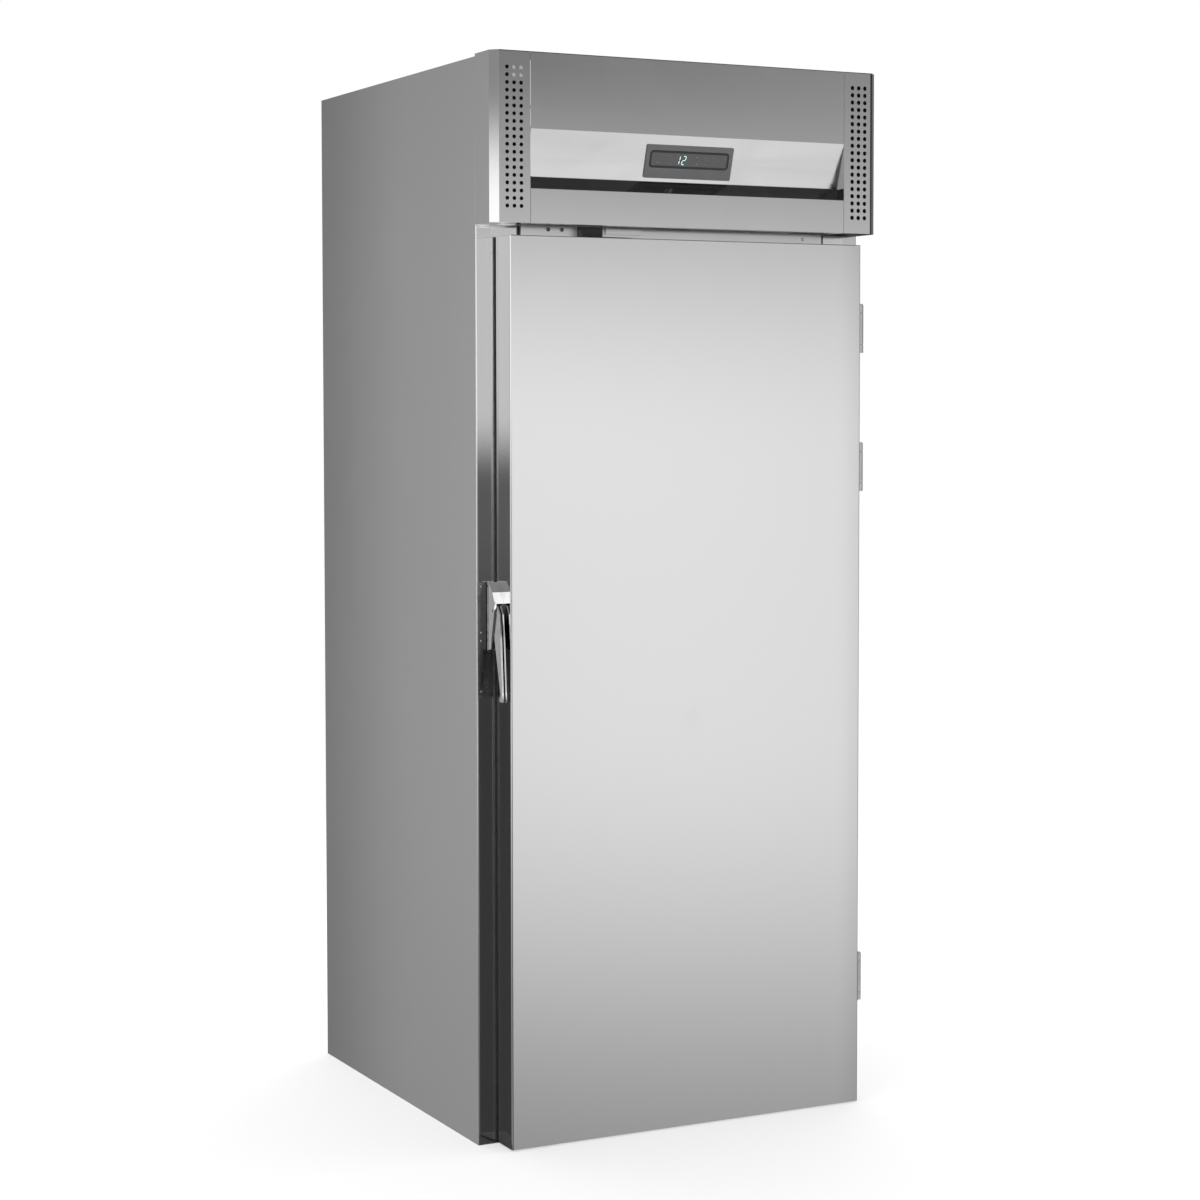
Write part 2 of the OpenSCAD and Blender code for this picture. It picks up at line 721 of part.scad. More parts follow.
band_t = 3;
module service_flap() {
    color(steel) {
        difference() {
            translate([-flap_x, 0, 0]) rotate([90, 0, 90]) linear_extrude(2 * flap_x) flap_outline();
            display_place() slab([-case_w / 2 - 1, case_w / 2 + 1], [-4, 8],
                [window_z[0] + 2, window_z[1] - 2]);
        }
        for (m = [0, 1]) mirror([m, 0, 0]) difference() {
            union() {
                slab([-flap_x, -flap_x + 4], [y0 + hood_t, flap_ax_y], [flap_ax_z - 8, flap_ax_z + 6]);
                rod_x([-flap_x, flap_ax_y, flap_ax_z], 7, 4);
            }
            rod_x([-flap_x - 1, flap_ax_y, flap_ax_z], flap_pin_r + run, 6);
        }
    }
}

// Dark glossy strip under the display face
module trim_band() {
    y1 = y0 + hood_recess;
    color([0.04, 0.04, 0.045]) along_x([-flap_x, flap_x], [[y1, slope_bot], [y1 - band_t, slope_bot],
        [y0, band_bot], [y0 + band_t, band_bot]]);
}

// Display on the sloping face, drawn in its own plane: the face looks down by the slope's angle
bezel_t = 2.5;
bezel_drop = 5;
case_w = window_w - 12;
case_d = 32;
window_z = [bezel_h / 2 - window_drop - window_h, bezel_h / 2 - window_drop];
module display_place() {
    translate([0, y0 + hood_recess * (0.5 + bezel_drop / hood_slope_h),
        (slope_top + slope_bot) / 2 - bezel_drop]) rotate([slope_a, 0, 0]) children();
}

module display_bezel() {
    color([0.25, 0.26, 0.27]) display_place() difference() {
        slab([-bezel_w / 2, bezel_w / 2], [-bezel_t, 0], [-bezel_h / 2, bezel_h / 2]);
        slab([-window_w / 2, window_w / 2], [-bezel_t - 1, 1], window_z);
    }
}

module display_window() {
    color([0.03, 0.03, 0.04]) display_place()
        slab([-window_w / 2, window_w / 2], [-bezel_t + 0.4, 0], window_z);
}

module controller_case() {
    color(black) display_place()
        slab([-case_w / 2, case_w / 2], [0, case_d], [window_z[0] + 3, window_z[1] - 3]);
}

// Cover strip screwed over the top rail, above the door
cover_x = 346;
cover_t = 12;
cover_z = [dz1 + 2, roof_z - 0.5];
module top_rail_cover() {
    color(steel) slab([-cover_x, cover_x], [yf - cover_t, yf], cover_z);
}

// Black door switch on the cover strip, with the grey plate beside it
switch_x = [-224, -178];
switch_y = [yf - cover_t - 22, yf - cover_t];
switch_c = [(switch_x[0] + switch_x[1]) / 2, (switch_y[0] + switch_y[1]) / 2];
plunger_r = 4;
plunger_travel = 2;
module door_switch() {
    color(black) difference() {
        union() {
            slab(switch_x, switch_y, [dz1 + 4, cover_z[1]]);
            slab([switch_x[1], switch_x[1] + 70], switch_y + [6, -6], [dz1 + 4, dz1 + 9]);
        }
        rod_z([switch_c[0], switch_c[1], dz1 + 3], plunger_r + run, 12 + plunger_travel + 2);
    }
    color(steel_dark) slab([switch_x[1] + 16, switch_x[1] + 96], [switch_y[1] - 4, switch_y[1]],
        [dz1 + 10, cover_z[1]]);
}

// Sprung plunger that the door's top edge holds up
module switch_plunger() {
    color(black) {
        rod_z([switch_c[0], switch_c[1], dz1 + clear + plunger_r / 2], plunger_r, 11);
        translate([switch_c[0], switch_c[1], dz1 + clear]) cylinder(r1 = 2.4, r2 = plunger_r,
            h = plunger_r / 2);
    }
}

// Hinges: end knuckles on the frame leaf, the long middle knuckle on the door leaf
module hinge_at(z) { translate([hx, hy, z]) children(); }

module hinge_frame_leaves() {
    color(steel) for (z = hinge_z) hinge_at(z) difference() {
        union() {
            slab([-13, 13], [hinge_out - 3, hinge_out], [-hinge_h / 2, hinge_h / 2]);
            for (e = [-hinge_h / 2, hinge_h / 2 - knuckle_h]) {
                slab([-3, 3], [0, hinge_out - 3], [e, e + knuckle_h]);
                cyl_z(knuckle_r, e, knuckle_h);
            }
        }
        cyl_z(hinge_pin_r + run, -hinge_h / 2 - 1, hinge_h + 2);
    }
}

module cyl_z(r, z, h) { translate([0, 0, z]) cylinder(r = r, h = h); }

module hinge_door_leaves() {
    z1 = hinge_h / 2 - knuckle_h - clear;
    x0 = dx1 - hx;
    color(steel) for (z = hinge_z) hinge_at(z) difference() {
        union() {
            slab([x0, x0 + 3], [dy0 - hy + 5, dy1 - hy - 8], [-hinge_h / 2, hinge_h / 2]);
            slab([x0 + 3, 0], [-3, 3], [-z1, z1]);
            cyl_z(knuckle_r, -z1, 2 * z1);
        }
        cyl_z(hinge_pin_r + run, -z1 - 1, 2 * z1 + 2);
    }
}

module hinge_pins() {
    color(steel_dark) for (z = hinge_z) hinge_at(z) {
        cyl_z(hinge_pin_r, -hinge_h / 2, hinge_h);
        cyl_z(knuckle_r - 1.5, hinge_h / 2, 2);
    }
}

// Plan of the door, set in by i, with rounded front corners
module door_plan(i, y1) {
    r = door_edge_r - i;
    translate([dx0 + door_edge_r, dy0 + i]) square([dx1 - dx0 - 2 * door_edge_r, y1 - dy0 - i]);
    translate([dx0 + i, dy0 + door_edge_r]) square([dx1 - dx0 - 2 * i, y1 - dy0 - door_edge_r]);
    for (x = [dx0 + door_edge_r, dx1 - door_edge_r]) translate([x, dy0 + door_edge_r]) circle(r);
}

module door_shell() {
    color(steel) difference() {
        translate([0, 0, dz0]) linear_extrude(dz1 - dz0) door_plan(0, dy1);
        translate([0, 0, dz0 + skin_t]) linear_extrude(dz1 - dz0 - 2 * skin_t)
            door_plan(skin_t, dy1 + 1);
    }
}

module door_core() {
    color(foam_c) translate([0, 0, dz0 + skin_t]) linear_extrude(dz1 - dz0 - 2 * skin_t)
        door_plan(skin_t, dy1 - skin_t);
}

module door_liner() {
    color(steel) slab([dx0 + skin_t, dx1 - skin_t], [dy1 - skin_t, dy1],
        [dz0 + skin_t, dz1 - skin_t]);
}

// Magnetic gasket that runs round the inner face of the door
module door_gasket() {
    e = 4;
    color([0.3, 0.3, 0.31]) difference() {
        slab([dx0 + e, dx1 - e], [dy1, yf - clear], [dz0 + e, dz1 - e]);
        slab([dx0 + e + gasket_w, dx1 - e - gasket_w], [dy1 - 1, yf], [dz0 + e + gasket_w,
            dz1 - e - gasket_w]);
    }
}

// Plate on the frame that the latch closes against
strike_x = [-hw + 2, -hw + 35];
strike_top = 54;
strike_z = [latch_z + strike_top - strike_h, latch_z + strike_top];
module strike_plate() {
    color(steel_dark) slab(strike_x, [yf - strike_t, yf], strike_z);
}

// Latch body on the door's left edge, hollow behind and below for the lever
module latch_body() {
    color(steel) difference() {
        along_x([lat_x0, dx0], [[yf - 5, latch_z + 55], [yf - 11, latch_z + 55],
            [yf - latch_out + 10, latch_z + 36], [yf - latch_out, latch_z + 14],
            [yf - latch_out + 4, latch_z - 11], [yf - latch_out + 15, latch_z - 56],
            [yf - latch_out + 17, latch_z - 76], [yf - 5, latch_z - 80]]);
        slab([lat_mid - lever_w / 2 - 1, lat_mid + lever_w / 2 + 1], [yf - latch_out - 1, yf],
            [latch_z - 81, latch_z + 14]);
        rod_x([lat_x0 - 1, lat_y, latch_z], latch_pin_r + 0.02, latch_w + 2);
    }
}

module latch_pin() {
    color(steel_dark) rod_x([lat_x0 + 0.5, lat_y, latch_z], latch_pin_r, latch_w - 1);
}

// Lever: hub on the pin, a short foot behind it, and a grooved arm that tapers to a hooked tip
module latch_lever() {
    x = [lat_mid - lever_w / 2, lat_mid + lever_w / 2];
    l = lever_l;
    color(steel) translate([0, yf, latch_z]) difference() {
        union() {
            rod_x([x[0], -30, 0], 11, lever_w);
            along_x(x, [[-8, 6], [-8, 12], [-30, 12.4], [-38, 10], [-50, -6], [-56, -56],
                [-63, -l + 17], [-65, -l + 3], [-62, -l], [-50, -l + 1], [-49, -l + 5],
                [-54, -l + 15], [-27, -56], [-20, -8]]);
        }
        rod_x([x[0] - 1, -30, 0], latch_pin_r + run, lever_w + 2);
        along_x([lat_mid - 1.4, lat_mid + 1.4], [[-70, -26], [-49, -26], [-53, -56],
            [-60, -l + 20], [-70, -l + 16]]);
    }
}

// Screw heads on the strike plate, the hinge leaves, the rail cover and the evaporator cover
module screws() {
    color(steel) {
        for (z = [strike_z[0] + 12, latch_z - 61, latch_z - 45, strike_z[1] - 8])
            rod_y([strike_x[0] + 6, yf - strike_t - 1.8, z], 3.5, 1.8);
        for (z = hinge_z, e = [-24, 0, 24]) rod_y([hx + 9, yf - 4.8, z + e], 3.2, 1.8);
        for (x = [-288, -258, 300]) rod_y([x, yf - cover_t - 1.5, (cover_z[0] + cover_z[1]) / 2], 3, 1.5);
        for (x = [-evap_w / 2 + 14, evap_w / 2 - 14], z = [evap_top - evap_h + 20, evap_top - 20])
            rod_y([x, evap_y - 2, z], 5, 2);
    }
}

side_panel_left();
side_panel_right();
back_panel();
foam_sides();
foam_back();
foam_roof();
liner_sides();
liner_back();
liner_ceiling();
front_frame();
breaker_strip();
base_rails();
floor_pan();
entry_ramp();
machine_deck();
bumper_rails();
evaporator_cover();
evaporator_coil();
evaporator_fan_frames();
evaporator_fan_left();
evaporator_fan_right();
drain_pan();
drain_tube();
lamp_housing();
lamp_lens();
unit_base();
compressor();
condenser_coil();
condenser_shroud();
condenser_fan_motor();
condenser_fan();
liquid_receiver();
refrigerant_pipes();
electrical_box();
cable_gland();
rear_grille();
hood_end_left();
hood_end_right();
hood_brackets();
flap_pins();
service_flap();
trim_band();
display_bezel();
display_window();
controller_case();
top_rail_cover();
door_switch();
switch_plunger();
hinge_frame_leaves();
hinge_door_leaves();
hinge_pins();
door_shell();
door_core();
door_liner();
door_gasket();
strike_plate();
latch_body();
latch_pin();
latch_lever();
screws();
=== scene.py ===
import json
import math

import bmesh
import bpy
from mathutils import Matrix, Vector

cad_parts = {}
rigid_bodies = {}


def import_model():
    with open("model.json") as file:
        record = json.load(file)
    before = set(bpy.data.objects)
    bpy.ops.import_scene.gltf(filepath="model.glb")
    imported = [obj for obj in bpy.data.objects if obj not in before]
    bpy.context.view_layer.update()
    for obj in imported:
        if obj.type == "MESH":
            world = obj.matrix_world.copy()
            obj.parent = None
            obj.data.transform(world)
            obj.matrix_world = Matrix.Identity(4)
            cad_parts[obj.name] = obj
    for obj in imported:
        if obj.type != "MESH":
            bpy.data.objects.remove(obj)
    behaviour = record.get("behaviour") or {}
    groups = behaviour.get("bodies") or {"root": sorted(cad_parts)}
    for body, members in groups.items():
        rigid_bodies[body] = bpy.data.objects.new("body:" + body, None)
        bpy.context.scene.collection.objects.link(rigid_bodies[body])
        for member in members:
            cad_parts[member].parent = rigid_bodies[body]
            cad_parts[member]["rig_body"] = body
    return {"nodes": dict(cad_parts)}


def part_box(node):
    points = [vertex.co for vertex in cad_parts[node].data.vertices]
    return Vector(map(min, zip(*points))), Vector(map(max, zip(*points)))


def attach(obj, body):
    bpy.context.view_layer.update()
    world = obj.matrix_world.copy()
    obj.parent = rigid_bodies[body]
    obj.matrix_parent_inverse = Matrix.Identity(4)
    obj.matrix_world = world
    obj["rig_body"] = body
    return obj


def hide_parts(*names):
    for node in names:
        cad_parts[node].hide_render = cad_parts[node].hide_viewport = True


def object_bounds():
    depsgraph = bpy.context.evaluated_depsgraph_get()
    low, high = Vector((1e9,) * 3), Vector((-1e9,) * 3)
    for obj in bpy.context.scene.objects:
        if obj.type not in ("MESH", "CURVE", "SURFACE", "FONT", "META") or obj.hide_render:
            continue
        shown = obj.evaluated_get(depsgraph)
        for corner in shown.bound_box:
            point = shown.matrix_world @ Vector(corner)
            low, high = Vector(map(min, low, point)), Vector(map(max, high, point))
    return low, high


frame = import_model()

cad_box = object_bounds()
nodes = frame["nodes"]


# Viewpoint of the photograph: to the left of the cabinet and a good way off, at chest height, with
# a long lens. The angles and distance come from the cabinet's own corners.
def link(name, data):
    thing = bpy.data.objects.new(name, data)
    bpy.context.collection.objects.link(thing)
    return thing


camera_place = Vector((-2.5487, -4.9739, 1.4721))
camera_turn = 26.581
camera_dip = 2.953
camera_roll = -0.110
focal_px = 2584.1
centre_px = (565.2, 536.2)
photo_px = 1200

camera_data = bpy.data.cameras.new("camera")
camera_data.sensor_width = 36.0
camera_data.lens = focal_px * camera_data.sensor_width / photo_px
camera_data.shift_x = (photo_px / 2 - centre_px[0]) / photo_px
camera_data.shift_y = (centre_px[1] - photo_px / 2) / photo_px
camera = link("camera", camera_data)
turn = Matrix.Rotation(math.radians(-camera_turn), 4, "Z")
tilt = Matrix.Rotation(math.radians(90 - camera_dip), 4, "X")
roll = Matrix.Rotation(math.radians(camera_roll), 4, "Z")
camera.matrix_world = Matrix.Translation(camera_place) @ turn @ tilt @ roll
bpy.context.scene.camera = camera
bpy.context.scene.view_settings.view_transform = "Standard"


# Studio floor: white paper under soft light from above, which ends just before the picture's lower
# edge. A small dark sheet under the left foot shows in reflections only: the stile mirrors the
# shade under the door.
def out(value):
    return value.outputs[0] if isinstance(value, bpy.types.Node) else value


def new_node(tree, kind, inputs=None, **settings):
    node = tree.nodes.new(kind)
    for key, value in settings.items():
        setattr(node, key, value)
    for key, value in (inputs or {}).items():
        if isinstance(out(value), bpy.types.NodeSocket):
            tree.links.new(out(value), node.inputs[key])
        else:
            node.inputs[key].default_value = value
    return node


def add(tree, kind, inputs=None, **settings):
    return new_node(tree, "ShaderNode" + kind, inputs, **settings)


def number(tree, operation, *values, **settings):
    return add(tree, "Math", dict(enumerate(values)), operation=operation, **settings)


def times(tree, first, second):
    return number(tree, "MULTIPLY", first, second)


def ranged(tree, value, start=0.0, end=1.0, low=0.0, high=1.0, smooth=False):
    return add(tree, "MapRange", {"Value": value, "From Min": start, "From Max": end,
               "To Min": low, "To Max": high},
               interpolation_type="SMOOTHSTEP" if smooth else "LINEAR")


def dot(tree, first, second):
    return add(tree, "VectorMath", {0: first, 1: second},
               operation="DOT_PRODUCT").outputs["Value"]


def spot(tree):
    return add(tree, "TexCoord").outputs["Object"]


def material(name, **constants):
    paint = bpy.data.materials.new(name)
    paint.use_nodes = True
    shader = paint.node_tree.nodes["Principled BSDF"]
    for key, value in constants.items():
        shader.inputs[key.replace("_", " ")].default_value = value
    return paint, paint.node_tree, shader


def feed(shader, **sources):
    for key, source in sources.items():
        shader.id_data.links.new(out(source), shader.inputs[key.replace("_", " ")])


def paper(name, low, high, level, paint):
    mesh = bpy.data.meshes.new(name)
    mesh.from_pydata([(low[0], low[1], level), (high[0], low[1], level),
                      (high[0], high[1], level), (low[0], high[1], level)], [], [(0, 1, 2, 3)])
    mesh.materials.append(paint)
    return link(name, mesh)


overhead = bpy.data.lights.new("overhead", "AREA")
overhead.size = 4.2
overhead.energy = 330
overhead_thing = link("overhead", overhead)
overhead_thing.location = (0.3, 0.7, 4.6)
overhead_thing.visible_glossy = False

shadow_share = 0.42
floor_half = 5.0
floor_paint, tree, shader = material("floor", Base_Color=(0.88, 0.88, 0.88, 1), Roughness=0.9)
place = spot(tree)
reach = add(tree, "VectorMath", {0: place, 1: (0.3, 0.5, 0)}, operation="DISTANCE")
ahead = Vector((math.sin(math.radians(camera_turn)), math.cos(math.radians(camera_turn)), 0))
picture_left, near_gap, near_fade, left_gap, left_fade = 12.4, 4.2, 0.4, -0.25, 0.23
left_edge = math.radians(camera_turn - picture_left)
across = Vector((math.cos(left_edge), -math.sin(left_edge), 0))
near_end = camera_place.dot(ahead) + near_gap
left_end = camera_place.dot(across) + left_gap
wide = ranged(tree, reach.outputs["Value"], 3.6, 2.0, smooth=True)
cut = ranged(tree, dot(tree, place, ahead), near_end, near_end + near_fade, smooth=True)
trim = ranged(tree, dot(tree, place, across), left_end, left_end + left_fade, smooth=True)
feed(shader, Alpha=times(tree, times(tree, times(tree, wide, cut), trim), shadow_share))
floor = paper("floor", (-floor_half, -floor_half), (floor_half, floor_half), 0, floor_paint)
floor.visible_glossy = False

side_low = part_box("side_panel_left")[0]
door_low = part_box("door_shell")[0]
under_wide, under_high = 0.1, 0.0004
shade_paint = material("foot_shadow", Base_Color=(0.05, 0.05, 0.05, 1))[0]
foot_shadow = paper("foot_shadow", (side_low.x, door_low.y),
                    (door_low.x + under_wide, side_low.y), under_high, shade_paint)
foot_shadow.visible_camera = False
foot_shadow.visible_diffuse = False
foot_shadow.visible_shadow = False


# Air: brushed steel shows what stands about it, so reflections see soft patches by direction, and
# the camera sees white. A patch is its azimuth, its half width, the heights where it begins and
# ends, all in degrees, and its tone.
def new_group(name, inputs, output, kind="Shader"):
    tree = bpy.data.node_groups.new(name, kind + "NodeTree")
    kinds = {tuple: "Vector", float: "Float", int: "Int"}
    for socket, value in inputs.items():
        made = tree.interface.new_socket(socket, in_out="INPUT", socket_type="NodeSocket" +
                                         kinds.get(type(value), value))
        if value not in ("Geometry", "Material"):
            made.default_value = value
    tree.interface.new_socket(output, in_out="OUTPUT", socket_type="NodeSocket" +
                              ("Float" if kind == "Shader" else "Geometry"))
    given = {socket.name: socket for socket in tree.nodes.new("NodeGroupInput").outputs}
    return tree, given, tree.nodes.new("NodeGroupOutput")


def close_group(tree, ends_out, value):
    tree.links.new(out(value), ends_out.inputs[0])


def tint(value):
    if isinstance(value, float):
        return (value, value, value, 1)
    return (*value, 1) if isinstance(value, tuple) else value


def mixed(tree, mask, first, second):
    return add(tree, "Mix", {0: mask, 6: tint(first), 7: tint(second)},
               data_type="RGBA").outputs[2]


patch_group, given, ends_out = new_group(
    "air_patch",
    {"Vector": (0, 0, 0), "Toward": (0, 1, 0), "Inner": 1.0, "Outer": 0.9, "Low Outer": -1.0,
     "Low Inner": -0.9, "High Inner": 0.9, "High Outer": 1.0}, "Mask")
way = add(patch_group, "SeparateXYZ", {0: given["Vector"]})
flat = add(patch_group, "CombineXYZ", {0: way.outputs[0], 1: way.outputs[1]})
level = add(patch_group, "VectorMath", {0: flat}, operation="NORMALIZE")
near = dot(patch_group, level, given["Toward"])
sides, floors, tops = [
    ranged(patch_group, value, given[first], given[last], smooth=True)
    for value, first, last in ((near, "Outer", "Inner"),
                               (way.outputs[2], "Low Outer", "Low Inner"),
                               (way.outputs[2], "High Outer", "High Inner"))]
close_group(patch_group, ends_out, times(patch_group, times(patch_group, sides, floors), tops))

world = bpy.data.worlds.new("air")
bpy.context.scene.world = world
world.use_nodes = True
air = world.node_tree
air.nodes.clear()
air_way = add(air, "TexCoord").outputs["Generated"]
air_tone = 0.40
for azimuth, spread, rise, fall, tone in (
        (0, (180, 181), (8, 30), (89, 90), 0.34),
        (350, (10.5, 17), (-80, -70), (20, 30), 0.24),
        (320, (9, 18.5), (-30, -6), (0, 20), 0.80),
        (150, (14, 34), (-50, -40), (-22, -18.5), 1.34),
        (155, (2, 22), (-19, -7), (-1, 8), 1.42),
        (160, (5.5, 10.5), (5, 8), (30, 50), 0.10),
        (202, (34, 42), (-36, -28), (-1.9, -0.4), 0.27),
        (202, (34, 42), (-36, -28), (-7, -2.2), 0.10),
        (206, (26, 36), (-1.6, -0.3), (9, 16), 1.5),
        (246, (10, 26), (-14, -6), (4.4, 6.8), 1.8),
        (218, (20, 34), (22, 28), (46, 52), 1.8),
        (camera_turn, (20, 30), (-89, -88), (30, 50), 1.0)):
    a = math.radians(azimuth)
    ends = {"Vector": air_way, "Toward": (math.sin(a), math.cos(a), 0)}
    for names, values, ratio in ((("Inner", "Outer"), spread, math.cos),
                                 (("Low Outer", "Low Inner"), rise, math.sin),
                                 (("High Inner", "High Outer"), fall, math.sin)):
        for name, value in zip(names, values):
            ends[name] = ratio(math.radians(value))
    patch = add(air, "Group", ends, node_tree=patch_group)
    air_tone = mixed(air, patch, air_tone, tone)
backdrop = mixed(air, add(air, "LightPath").outputs["Is Camera Ray"], air_tone, 1.0)
add(air, "OutputWorld", {"Surface": add(air, "Background", {"Color": backdrop})})


# Side panels: one stainless sheet a side, folded at the front corner and the rear edge, brushed
# upright. The groups give every sheet its grain, wiping marks and slight wave. The left front fold
# is smoother and leans a little, and painted shade darkens both sheets towards the rear.
grain_group, given, ends_out = new_group(
    "brushed_grain", {"Vector": (0, 0, 0), "Lines": (900, 900, 6)}, "Streak")
stretched = add(grain_group, "VectorMath", {0: given["Vector"], 1: given["Lines"]},
                operation="MULTIPLY")
fine = add(grain_group, "TexNoise", {"Vector": stretched, "Scale": 1.0, "Detail": 3.0,
           "Roughness": 0.6})
broad = add(grain_group, "TexNoise", {"Vector": stretched, "Scale": 0.09, "Detail": 2.0})
close_group(grain_group, ends_out,
            add(grain_group, "Mix", {0: 0.4, 2: fine, 3: broad}, data_type="FLOAT"))

marks_group, given, ends_out = new_group(
    "wiping_marks", {"Vector": (0, 0, 0), "Scale": 5.0, "Cover": 0.5}, "Mark")
wiped = add(marks_group, "TexNoise", {"Vector": given["Vector"], "Scale": given["Scale"],
            "Detail": 5.0, "Distortion": 1.2})
least = number(marks_group, "SUBTRACT", 0.8, given["Cover"])
close_group(marks_group, ends_out, ranged(marks_group, wiped, least, 0.85, smooth=True))

wave_group, given, ends_out = new_group(
    "sheet_wave", {"Vector": (0, 0, 0), "Scale": 2.4}, "Wave")
close_group(wave_group, ends_out, add(wave_group, "TexNoise", {
    "Vector": given["Vector"], "Scale": given["Scale"], "Detail": 1.0, "Roughness": 0.3}))


def marked(tree, place, scale, cover):
    return add(tree, "Group", {"Vector": place, "Scale": scale, "Cover": cover},
               node_tree=marks_group)


def steel(name, tone, rough, lines=(900, 900, 6), wave=0.0003, marks=0.35, drawn=0.9):
    paint, tree, shader = material(name, Metallic=1.0, Anisotropic=drawn)
    place = spot(tree)
    grain = add(tree, "Group", {"Vector": place, "Lines": lines}, node_tree=grain_group)
    wiped = marked(tree, place, 5.0, marks)
    swell = add(tree, "Group", {"Vector": place}, node_tree=wave_group)
    dark = tone * 0.95
    feed(shader, Base_Color=mixed(tree, times(tree, wiped, 0.25),
                                  mixed(tree, grain, dark, tone * 1.04), dark),
         Roughness=number(tree, "MULTIPLY_ADD", wiped, 0.03,
                          ranged(tree, grain, low=rough - 0.02, high=rough + 0.02)))
    slow = add(tree, "Bump", {"Strength": 1.0, "Distance": wave, "Height": swell})
    feed(shader, Normal=add(tree, "Bump", {"Strength": 0.6, "Distance": 0.000012,
                            "Height": grain, "Normal": slow}))
    return paint


def coat(name, paint):
    nodes[name].data.materials.clear()
    nodes[name].data.materials.append(paint)


def plain_mesh(thing):
    shown = thing.evaluated_get(bpy.context.evaluated_depsgraph_get())
    mesh = bpy.data.meshes.new_from_object(shown)
    thing.modifiers.clear()
    thing.data = mesh
    return thing


def formed(name, work, paint, crease=None):
    mesh = bpy.data.meshes.new(name)
    work.to_mesh(mesh)
    work.free()
    mesh.materials.append(paint)
    if crease:
        mesh.shade_smooth()
        mesh.set_sharp_from_angle(angle=math.radians(crease))
    return link(name, mesh)


def softened(thing, width, steps=3, fold=30):
    thing.data.shade_smooth()
    soft = thing.modifiers.new("edge", "BEVEL")
    soft.limit_method = "ANGLE"
    soft.angle_limit = math.radians(fold)
    soft.width = width
    soft.segments = steps
    thing.modifiers.new("even", "WEIGHTED_NORMAL").keep_sharp = True
    return plain_mesh(thing)


def merged(name, flat=True):
    work = bmesh.new()
    work.from_mesh(nodes[name].data)
    bmesh.ops.remove_doubles(work, verts=work.verts, dist=1e-5)
    if flat:
        bmesh.ops.dissolve_limit(work, angle_limit=math.radians(0.5), verts=work.verts,
                                 edges=work.edges)
    return work


def walk(start, left, edges):
    found, fresh = {start}, [start]
    while fresh:
        for edge in fresh.pop().link_edges:
            for vert in edge.verts:
                if edge in edges and vert in left:
                    left.remove(vert)
                    found.add(vert)
                    fresh.append(vert)
    return found


def widen_holes(work, share, least=0.005, most=0.008, wall_area=4e-6):
    walls = [face for face in work.faces
             if abs(face.normal.y) < 0.2 and face.calc_area() < wall_area]
    left = {vert for face in walls for vert in face.verts}
    edges = {edge for face in walls for edge in face.edges}
    while left:
        rim = walk(left.pop(), left, edges)
        ends = [(min(vert.co[k] for vert in rim), max(vert.co[k] for vert in rim))
                for k in (0, 2)]
        if all(least < high - low < most for low, high in ends):
            for vert in rim:
                for k, (low, high) in zip((0, 2), ends):
                    vert.co[k] += (vert.co[k] - (low + high) / 2) * (share - 1)


def take(name, paint, edge, steps=2, flat=True, fold=38, wider=None):
    work = merged(name, flat)
    if wider:
        widen_holes(work, wider)
    thing = softened(formed(name + "_look", work, paint), edge, steps, fold)
    for vert in thing.data.vertices:
        vert.co.z = min(vert.co.z, cad_box[1][2])
    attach(thing, nodes[name]["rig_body"])
    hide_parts(name)
    return thing


def facing(tree, way):
    turned = dot(tree, add(tree, "NewGeometry").outputs["True Normal"], way)
    return ranged(tree, turned, 0.8, 0.97)


def relinked(paint, key):
    shader = paint.node_tree.nodes["Principled BSDF"]
    return paint.node_tree, shader, shader.inputs[key].links[0].from_socket


def polished(paint, way, share):
    tree, shader, brushed = relinked(paint, "Roughness")
    less = ranged(tree, facing(tree, way), low=1.0, high=share)
    feed(shader, Roughness=times(tree, brushed, less))


def leaning(paint, way, lean):
    tree, shader, skin = relinked(paint, "Normal")
    crown = add(tree, "VectorMath", {0: lean, 3: facing(tree, way)}, operation="SCALE")
    leaned = add(tree, "VectorMath", {0: skin, 1: crown}, operation="ADD")
    feed(shader, Normal=add(tree, "VectorMath", {0: leaned}, operation="NORMALIZE"))


def beyond(tree, axis, level, soft=0.0004):
    place = add(tree, "SeparateXYZ", {0: spot(tree)})
    return ranged(tree, place.outputs[axis], level, level + soft, smooth=True)


# Mixes a flat tone into a steel's base colour by a mask; the uses below paint shade or a dark rim.
def paint_shade_by_mask(paint, mask, tone):
    tree, shader, metal = relinked(paint, "Base Color")
    feed(shader, Base_Color=mixed(tree, mask, metal, tone))


side_stainless = steel("side_stainless", 0.56, 0.18, wave=0.0005)
polished(side_stainless, (0, -1, 0), 0.3)
leaning(side_stainless, (0, -1, 0), (0.07, 0, 0))
right_stainless = steel("right_stainless", 0.56, 0.18, wave=0.0005)
# Painted shade: the base colour is mixed darker over the rear part of each side sheet.
painted_shade_start, painted_shade_long, painted_shade_share, painted_shade_tone = -0.05, 0.6, 0.55, 0.2
for name, paint in (("side_panel_left", side_stainless), ("side_panel_right", right_stainless)):
    tree = paint.node_tree
    paint_shade_by_mask(paint, times(tree, beyond(tree, 1, painted_shade_start, painted_shade_long), painted_shade_share), painted_shade_tone)
    take(name, paint, 0.00025)
